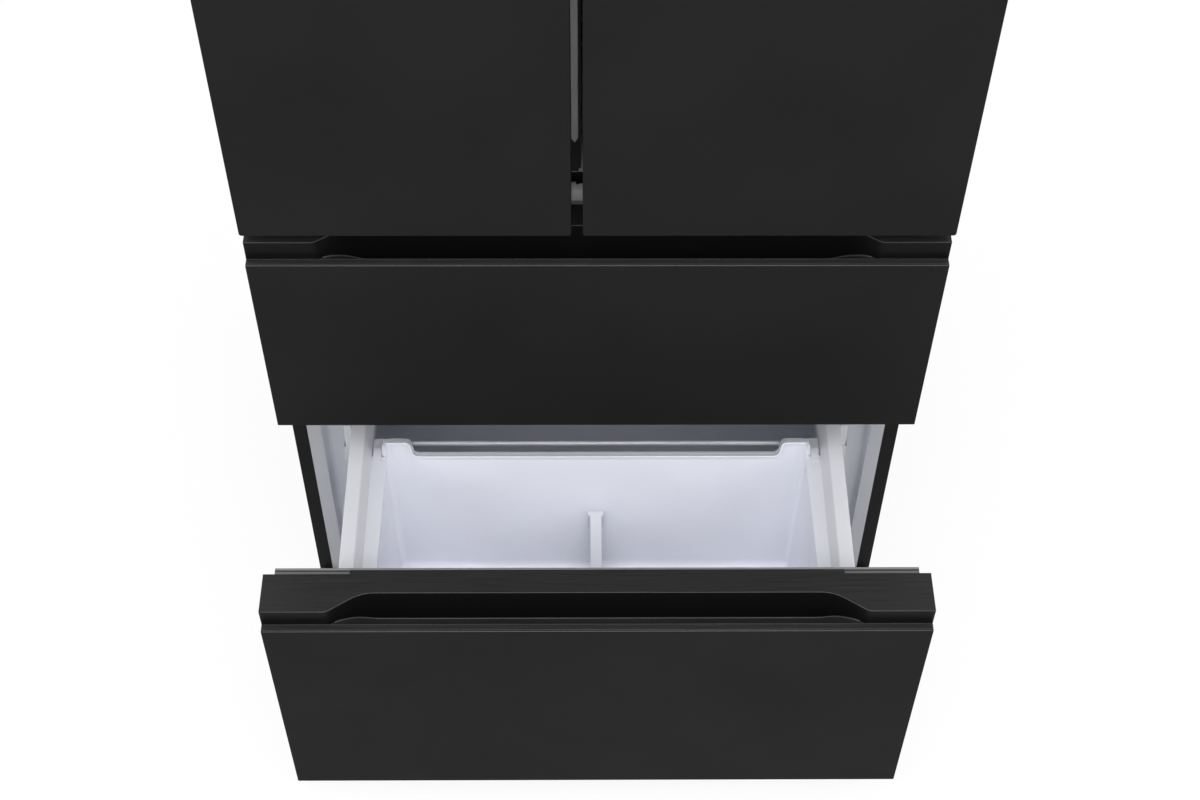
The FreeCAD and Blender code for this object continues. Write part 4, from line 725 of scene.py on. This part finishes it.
softened = {    # piece name and edge radius in millimetres
    "cabinet_shell": ("caseWrap", 0.45), "upper_crossbar": ("upperCrossbar", 0.6),
    "lower_crossbar": ("lowerCrossbar", 0.5), "top_hinges": ("topHinges", 0.7),
    "centre_hinges": ("centreHinges", 0.7),
    "freezer_outer_rails": ("freezerOuterRails", 0.4), "freezer_mid_rails": ("freezerMidRails", 0.4),
    "middle_outer_rails": ("middleOuterRails", 0.4), "middle_mid_rails": ("middleMidRails", 0.4),
    "air_duct": ("airDuct", 1.0), "evaporator_cover": ("evaporatorCover", 0.8),
    "base_pan": ("basePan", 0.5), "drain_pan": ("drainPan", 0.8),
    "condenser_fan_shroud": ("fanShroud", 0.8), "condenser_fan": ("condenserFan", 0.5),
    "evaporator_fan": ("evaporatorFan", 0.5), "compressor": ("compressorCan", 1.0),
    "power_inlet": ("powerInlet", 0.4),
    "front_foot_left": ("leftFoot", 0.6), "front_foot_right": ("rightFoot", 0.6),
    "rear_roller_left": ("leftRoller", 1.0), "rear_roller_right": ("rightRoller", 1.0),
    "lamp_lens": ("lampLens", 0.5), "glass_shelf_lower": ("lowerShelf", 0.8),
    "glass_shelf_upper": ("upperShelf", 0.8),
    "left_door_bin_lower": ("leftLowBin", 0.9), "left_door_bin_upper": ("leftHighBin", 0.9),
    "right_door_bin_lower": ("rightLowBin", 0.9), "right_door_bin_upper": ("rightHighBin", 0.9),
}
drawerSoft = {"liner": 0.8, "linerInside": 7, "divider": 2.0, "crossBar": 0.8, "frame": 1.6}    # millimetres
for node, (name, radius) in softened.items():
    rounded(name, node, radius)
for word in ("fridge", "middle", "freezer"):
    rounded(f"{word}Liner", f"{word}_liner", drawerSoft["liner"], inner=drawerSoft["linerInside"],
            flange=flangeShade)
# painted shade: the divider takes the darkened bin colour
rounded("freezerDivider", "freezer_divider", drawerSoft["divider"], finish=binShade)
rounded("freezerCrossBar", "freezer_cross_bar", drawerSoft["crossBar"], finish=barSteel)
for word in ("middle", "freezer"):
    rounded(f"{word}Frames", f"{word}_side_frames", drawerSoft["frame"], finish=framePlastic)
print(len(softened) + 7, "pieces softened")


# Slide guides beside the drawers' frames: pale strips that stand on the rails' brackets

guide = {"inner": 333.4 * mm, "outer": 344.6 * mm, "bracketFront": 6 * mm, "bracketHeight": 30 * mm,
         "front": 0.6 * mm, "length": 150 * mm, "height": 46 * mm, "sink": 0.5 * mm, "edge": 1 * mm}
for word in ("middle", "freezer"):
    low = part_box(f"{word}_outer_rails")[0]
    bracketTop = low.z + guide["bracketHeight"]
    start = low.y + guide["bracketFront"] + guide["front"]
    bm = bmesh.new()
    for side in (-1, 1):
        xs = sorted((side * guide["inner"], side * guide["outer"]))
        addBox(bm, (xs[0], start, bracketTop - guide["sink"]),
               (xs[1], start + guide["length"], bracketTop + guide["height"]))
    roundEdges(bm, sharpEdges(bm), guide["edge"])
    addPiece(f"{word}SlideGuides", bm, "cabinet", "liner_plastic", framePlastic)
print("slide guides done")


# Sealing flap between the doors: grey pointed rib on a black plate, and the catch that it runs over

flap = {"ribDepth": 7 * mm, "hair": 0.05 * mm, "toeLow": 874.6 * mm, "toeSide": -62 * mm,
        "toeOverlap": 10 * mm, "lipSide": -19.6 * mm, "lipDepth": 4 * mm, "lipOverlap": 2 * mm,
        "edge": 0.7 * mm}
flapLow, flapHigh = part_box("mullion_flap")
plateFace = flapLow.y + flap["ribDepth"]
bm = cadCopy("mullion_flap")
cutAway(bm, (0, plateFace - flap["hair"], 0), (0, 1, 0))
roundEdges(bm, sharpEdges(bm), flap["edge"])
addPiece("flapRib", bm, "flap", "flap_plastic", None, ("mullion_flap",))
bm = cadCopy("mullion_flap")
cutAway(bm, (0, plateFace - flap["hair"], 0), (0, -1, 0))
roundEdges(bm, sharpEdges(bm), flap["edge"])
addBox(bm, (flap["toeSide"], plateFace, flap["toeLow"]),
       (flapHigh.x, flapHigh.y, flapLow.z + flap["toeOverlap"]))
lipY = plateFace + flap["lipDepth"]    # a lip that closes the slot beside the right door
addBox(bm, (flapHigh.x - flap["lipOverlap"], lipY, flap["toeLow"]),
       (flap["lipSide"], lipY + flap["lipDepth"], flapHigh.z - flap["lipOverlap"]))
addPiece("flapPlate", bm, "flap", "black_plastic", None, ("mullion_flap",))

catch = {"left": -34.5, "notch": -25.2, "right": -13.5, "low": 832, "notchHigh": 858.3, "rightHigh": 861.5,
         "leftHigh": 862.3, "footLow": 825, "footHigh": 832.5, "depth": 1.2 * mm, "footDepth": 0.5 * mm,
         "sink": 1 * mm, "edge": 0.3 * mm, "footEdge": 0.2 * mm}    # places in millimetres
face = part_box("upper_crossbar")[0].y
outline = [(catch["left"], catch["low"]), (catch["right"], catch["low"]),
           (catch["right"], catch["rightHigh"]), (catch["notch"], catch["notchHigh"]),
           (catch["notch"], catch["leftHigh"]), (catch["left"], catch["leftHigh"])]
bm = bmesh.new()
addStrip(bm, [(x * mm, face, z * mm) for x, z in outline], (0, -catch["depth"], 0))
roundEdges(bm, sharpEdges(bm), catch["edge"])
addPiece("flapCatch", bm, "cabinet", "flap_plastic", catchGrey)
bm = boxMesh((catch["left"] * mm, face - catch["footDepth"], catch["footLow"] * mm),
             (catch["right"] * mm, face + catch["sink"], catch["footHigh"] * mm))
roundEdges(bm, sharpEdges(bm), catch["footEdge"])
addPiece("flapCatchFoot", bm, "cabinet", "flap_plastic", catchShade)
print("sealing flap done")


# Kick plate with a row of air slots

kick = {"slots": 27, "pitch": 18 * mm, "width": 7 * mm, "low": 14 * mm, "high": 36 * mm, "depth": 3 * mm,
        "slope": 0.4 * mm, "edge": 1.2 * mm, "shortest": 30 * mm}
bm = cadCopy("kick_plate")
middleSlot = (kick["slots"] - 1) / 2
centres = [(i - middleSlot) * kick["pitch"] for i in range(kick["slots"])]
planes = [((x + side * kick["width"] / 2, 0, 0), (1, 0, 0)) for x in centres for side in (-1, 1)]
planes += [((0, 0, z), (0, 0, 1)) for z in (kick["low"], kick["high"])]
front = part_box("kick_plate")[0].y
for point, normal in planes:
    facing = [f for f in bm.faces if abs(f.calc_center_median().y - front) < 0.1 * mm]
    cutThrough(bm, point, normal, facing)
slots = []
for f in bm.faces:
    spot = f.calc_center_median()
    if abs(spot.y - front) < 0.1 * mm and kick["low"] < spot.z < kick["high"]:
        if any(abs(spot.x - x) < kick["width"] / 2 for x in centres):
            slots.append(f)
bm.normal_update()
bmesh.ops.inset_individual(bm, faces=slots, thickness=kick["slope"], depth=-kick["depth"])
outer = [e for e in sharpEdges(bm, 60) if e.calc_length() > 2 * kick["shortest"] or along(e, 1)]
roundEdges(bm, [e for e in outer if e.is_convex and e.calc_length() > kick["shortest"]], kick["edge"])
addPiece("kickPlate", bm, "cabinet", "black_plastic", None, ("kick_plate",))
print("kick plate done")


# Hinge caps with a shallow panel on top

cap = {"border": 5 * mm, "slope": 0.8 * mm, "sink": 1 * mm, "edge": 0.5 * mm, "smallest": 0.001}
bm = cadCopy("hinge_covers")
bm.normal_update()
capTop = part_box("hinge_covers")[1].z
upper = [f for f in bm.faces if f.normal.z > 0.99 and abs(f.calc_center_median().z - capTop) < 0.1 * mm]
tops = [f for f in upper if f.calc_area() > cap["smallest"]]    # square metres
bmesh.ops.inset_individual(bm, faces=tops, thickness=cap["border"], depth=0)
bmesh.ops.inset_individual(bm, faces=tops, thickness=cap["slope"], depth=-cap["sink"])
roundEdges(bm, sharpEdges(bm), cap["edge"])
addPiece("hingeCaps", bm, "cabinet", "black_plastic", None, ("hinge_covers",))
print("hinge caps done")


# Back: pressed sheet set into the case, machine cover with louvres, and their screws

back = {"setback": 2.3 * mm, "sheet": 0.8 * mm, "rim": 44 * mm, "slope": 6 * mm, "press": 4 * mm, "beads": 5,
        "beadPitch": 128 * mm, "beadWidth": 44 * mm, "beadEnd": 90 * mm, "beadSlope": 9 * mm,
        "beadRise": 2.6 * mm, "foamGap": 2 * mm, "screwSide": 18 * mm, "screwEnd": 30 * mm, "screwRows": 6,
        "screwTop": 22 * mm, "topScrews": (-0.19, 0.0, 0.19)}
low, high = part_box("back_panel")
rimY = high.y - back["setback"]
bm = bmesh.new()
corners = [(low.x, low.z), (low.x, high.z), (high.x, high.z), (high.x, low.z)]
field = bm.faces.new([bm.verts.new((x, rimY, z)) for x, z in corners])
bm.normal_update()
inward = -1 if field.normal.y > 0 else 1
bmesh.ops.inset_region(bm, faces=[field], thickness=back["rim"], depth=0)
bmesh.ops.inset_region(bm, faces=[field], thickness=back["slope"], depth=inward * back["press"])
pressedY = rimY - back["press"]
beadAt = [(i - (back["beads"] - 1) / 2) * back["beadPitch"] for i in range(back["beads"])]
beadLow = low.z + back["rim"] + back["beadEnd"]
beadHigh = high.z - back["rim"] - back["beadEnd"]
planes = [((x + side * back["beadWidth"] / 2, 0, 0), (1, 0, 0)) for x in beadAt for side in (-1, 1)]
planes += [((0, 0, z), (0, 0, 1)) for z in (beadLow, beadHigh)]
for point, normal in planes:
    flat = [f for f in bm.faces if abs(f.calc_center_median().y - pressedY) < 0.1 * mm]
    cutThrough(bm, point, normal, flat)
beads = []
for f in bm.faces:
    spot = f.calc_center_median()
    if abs(spot.y - pressedY) < 0.1 * mm and beadLow < spot.z < beadHigh:
        if any(abs(spot.x - x) < back["beadWidth"] / 2 for x in beadAt):
            beads.append(f)
bmesh.ops.inset_individual(bm, faces=beads, thickness=back["beadSlope"], depth=-inward * back["beadRise"])
piece = addPiece("backSheet", bm, "cabinet", "back_sheet", None, ("back_panel",), 15, outward=(0, 1, 0))
thicken(piece, back["sheet"])

bm = cadCopy("cabinet_foam")    # the foam ends behind the pressing
for v in bm.verts:
    if v.co.y > high.y - back["foamGap"]:
        v.co.y = pressedY - back["foamGap"]
addPiece("insulationFill", bm, "cabinet", "foam", None, ("cabinet_foam",))

edgeX = high.x - back["screwSide"]
firstZ = low.z + back["screwEnd"]
rowStep = (high.z - low.z - 2 * back["screwEnd"]) / (back["screwRows"] - 1)
places = [(side * edgeX, rimY, firstZ + rowStep * i) for side in (-1, 1) for i in range(back["screwRows"])]
places += [(x, rimY, high.z - back["screwTop"]) for x in back["topScrews"]]
hexScrews("backScrews", places, (0, 1, 0), "cabinet")

cover = {"setback": 1.9 * mm, "edge": 0.4 * mm, "screwX": (-0.385, -0.05, 0.385), "screwZ": (0.048, 0.252)}
louvre = {"x": 200 * mm, "half": 62 * mm, "first": 96 * mm, "step": 16 * mm, "rows": 6, "sink": 0.3 * mm,
          "lipBack": 0.1 * mm, "lipHigh": 1.2 * mm, "lipLow": 2.2 * mm, "rootHigh": 4 * mm,
          "rootLow": 0.4 * mm, "edge": 0.2 * mm}
low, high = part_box("machine_cover")
bm = cadCopy("machine_cover")
bmesh.ops.translate(bm, vec=(0, -cover["setback"], 0), verts=bm.verts)
roundEdges(bm, sharpEdges(bm), cover["edge"])
addPiece("machineCover", bm, "cabinet", "back_sheet", None, ("machine_cover",))
plain = high.y - cover["setback"]
root, lipFace = plain - louvre["sink"], high.y - louvre["lipBack"]
bm = bmesh.new()
for side in (-1, 1):
    for row in range(louvre["rows"]):
        top = louvre["first"] + row * louvre["step"]
        start = side * louvre["x"] - louvre["half"]
        hood = [(start, root, top + louvre["rootHigh"]), (start, lipFace, top - louvre["lipHigh"]),
                (start, lipFace, top - louvre["lipLow"]), (start, root, top + louvre["rootLow"])]
        addStrip(bm, hood, (2 * louvre["half"], 0, 0))
roundEdges(bm, sharpEdges(bm, 50), louvre["edge"], 1)
addPiece("machineLouvres", bm, "cabinet", "back_sheet")
places = [(x, plain, z) for x in cover["screwX"] for z in cover["screwZ"]]
hexScrews("coverScrews", places, (0, 1, 0), "cabinet")
print("back done")


# Inside: trims on the glass shelves and rails on the door bins

trim = {"lip": 3 * mm, "cover": 13 * mm, "below": 3.6 * mm, "above": 3 * mm, "slack": 0.15 * mm,
        "edge": 1.1 * mm}
for word in ("lower", "upper"):
    low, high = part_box(f"glass_shelf_{word}")
    gap, reach = trim["slack"], trim["cover"]
    under, over = low.z - trim["below"], high.z + trim["above"]
    for name, edge, way in ((f"{word}ShelfFront", low.y, 1), (f"{word}ShelfBack", high.y, -1)):
        section = [(-trim["lip"], under), (reach, under), (reach, low.z - gap), (-gap, low.z - gap),
                   (-gap, high.z + gap), (reach, high.z + gap), (reach, over), (-trim["lip"], over)]
        bm = bmesh.new()
        addStrip(bm, [(low.x, edge + way * y, z) for y, z in section], (high.x - low.x, 0, 0))
        outer = [e for e in sharpEdges(bm, 60) if along(e, 0) and e.is_convex]
        roundEdges(bm, outer, trim["edge"], 3)
        addPiece(name, bm, "cabinet", "door_bin_plastic")

rail = {"height": 16 * mm, "drop": 3 * mm, "thickness": 1.6 * mm, "inset": 14 * mm, "sink": 0.4 * mm,
        "edge": 0.7 * mm}
for side in ("left", "right"):
    for level in ("lower", "upper"):
        low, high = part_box(f"{side}_door_bin_{level}")
        top = high.z - rail["drop"]
        bm = boxMesh((low.x + rail["inset"], high.y - rail["sink"], top - rail["height"]),
                     (high.x - rail["inset"], high.y + rail["thickness"], top))
        roundEdges(bm, sharpEdges(bm), rail["edge"])
        addPiece(f"{side}{level.title()}BinRail", bm, f"{side}_door", "rail_steel")
print("shelf trims and bin rails done")


# Floor, light and camera

studio = {"floor": 30.0, "floorTone": (0.78, 0.78, 0.78), "shine": 0.88, "worldLight": 0.82}


def whiteWhereSeen(tree, shader, output, share):
    path = tree.nodes.new("ShaderNodeLightPath")
    glow = tree.nodes.new("ShaderNodeEmission")
    mirrored = tree.nodes.new("ShaderNodeMath")
    mirrored.operation = "MAXIMUM"
    tree.links.new(path.outputs["Is Glossy Ray"], mirrored.inputs[0])
    tree.links.new(path.outputs["Is Transmission Ray"], mirrored.inputs[1])
    seen = tree.nodes.new("ShaderNodeMath")
    seen.operation = "MAXIMUM"
    tree.links.new(path.outputs["Is Camera Ray"], seen.inputs[0])
    tree.links.new(mirrored.outputs[0], seen.inputs[1])
    part = tree.nodes.new("ShaderNodeMath")
    part.operation = "MULTIPLY"
    part.inputs[1].default_value = share
    tree.links.new(seen.outputs[0], part.inputs[0])
    mix = tree.nodes.new("ShaderNodeMixShader")
    tree.links.new(part.outputs[0], mix.inputs["Fac"])
    tree.links.new(shader, mix.inputs[1])
    tree.links.new(glow.outputs["Emission"], mix.inputs[2])
    tree.links.new(mix.outputs["Shader"], output)


bm = bmesh.new()
bmesh.ops.create_grid(bm, x_segments=1, y_segments=1, size=studio["floor"] / 2)
floorMesh = bpy.data.meshes.new("studioFloor")
bm.to_mesh(floorMesh)
bm.free()
floor = bpy.data.objects.new("studioFloor", floorMesh)
scene.collection.objects.link(floor)
paper, tree, shader, place = startFinish("floorPaper")
paperTone = toned(tree, grain(tree, place, 0.4, 2), shaded(studio["floorTone"], 0.99), studio["floorTone"])
tree.links.new(paperTone, shader.inputs["Base Color"])
shader.inputs["Roughness"].default_value = 0.9
shader.inputs["Specular IOR Level"].default_value = 0.1
surface = next(n for n in tree.nodes if n.type == "OUTPUT_MATERIAL").inputs["Surface"]
whiteWhereSeen(tree, shader.outputs["BSDF"], surface, studio["shine"])
floorMesh.materials.append(paper)

world = bpy.data.worlds.new("studioWorld")
scene.world = world
world.use_nodes = True
tree = world.node_tree
tree.nodes.clear()
sky = tree.nodes.new("ShaderNodeBackground")
sky.inputs["Color"].default_value = (1, 1, 1, 1)
sky.inputs["Strength"].default_value = studio["worldLight"]
output = tree.nodes.new("ShaderNodeOutputWorld")
whiteWhereSeen(tree, sky.outputs["Background"], output.inputs["Surface"], 1)

lamps = {    # place, aimed at, size in metres and power in watts
    "keyLamp": ((0.0, -2.0, 3.25), (0, -0.3, 0.4), 1.8, 52),
    "overheadLamp": ((0.0, -0.9, 3.8), (0, -0.3, 0.5), 2.6, 22),
    "leftLamp": ((-2.6, -1.6, 2.2), (0, -0.1, 0.8), 1.8, 30),
    "rightLamp": ((2.6, -1.6, 2.2), (0, -0.1, 0.8), 1.8, 30),
    "rearLamp": ((0.0, 2.8, 2.6), (0, 0.3, 0.9), 2.0, 45),
}
for name, (place, aim, size, power) in lamps.items():
    lamp = bpy.data.lights.new(name, "AREA")
    lamp.size = size
    lamp.energy = power
    holder = bpy.data.objects.new(name, lamp)
    holder.location = place
    holder.rotation_euler = (Vector(aim) - Vector(place)).to_track_quat("-Z", "Y").to_euler()
    scene.collection.objects.link(holder)

cameraView = {"place": (-0.017, -1.719, 2.456), "yaw": 0.80, "pitch": 51.86, "roll": 0.56, "lens": 57.8}
yaw, pitch, roll = (math.radians(cameraView[word]) for word in ("yaw", "pitch", "roll"))
forward = Vector((math.sin(yaw) * math.cos(pitch), math.cos(yaw) * math.cos(pitch), -math.sin(pitch)))
right = Vector((math.cos(yaw), -math.sin(yaw), 0))
up = right.cross(forward)
rolledRight = math.cos(roll) * right + math.sin(roll) * up
rolledUp = math.cos(roll) * up - math.sin(roll) * right
lens = bpy.data.cameras.new("photoCamera")
lens.sensor_width = 36
lens.lens = cameraView["lens"]
camera = bpy.data.objects.new("photoCamera", lens)
turn = Matrix((rolledRight, rolledUp, -forward)).transposed().to_4x4()
camera.matrix_world = Matrix.Translation(cameraView["place"]) @ turn
scene.collection.objects.link(camera)
scene.camera = camera
print("stage set")
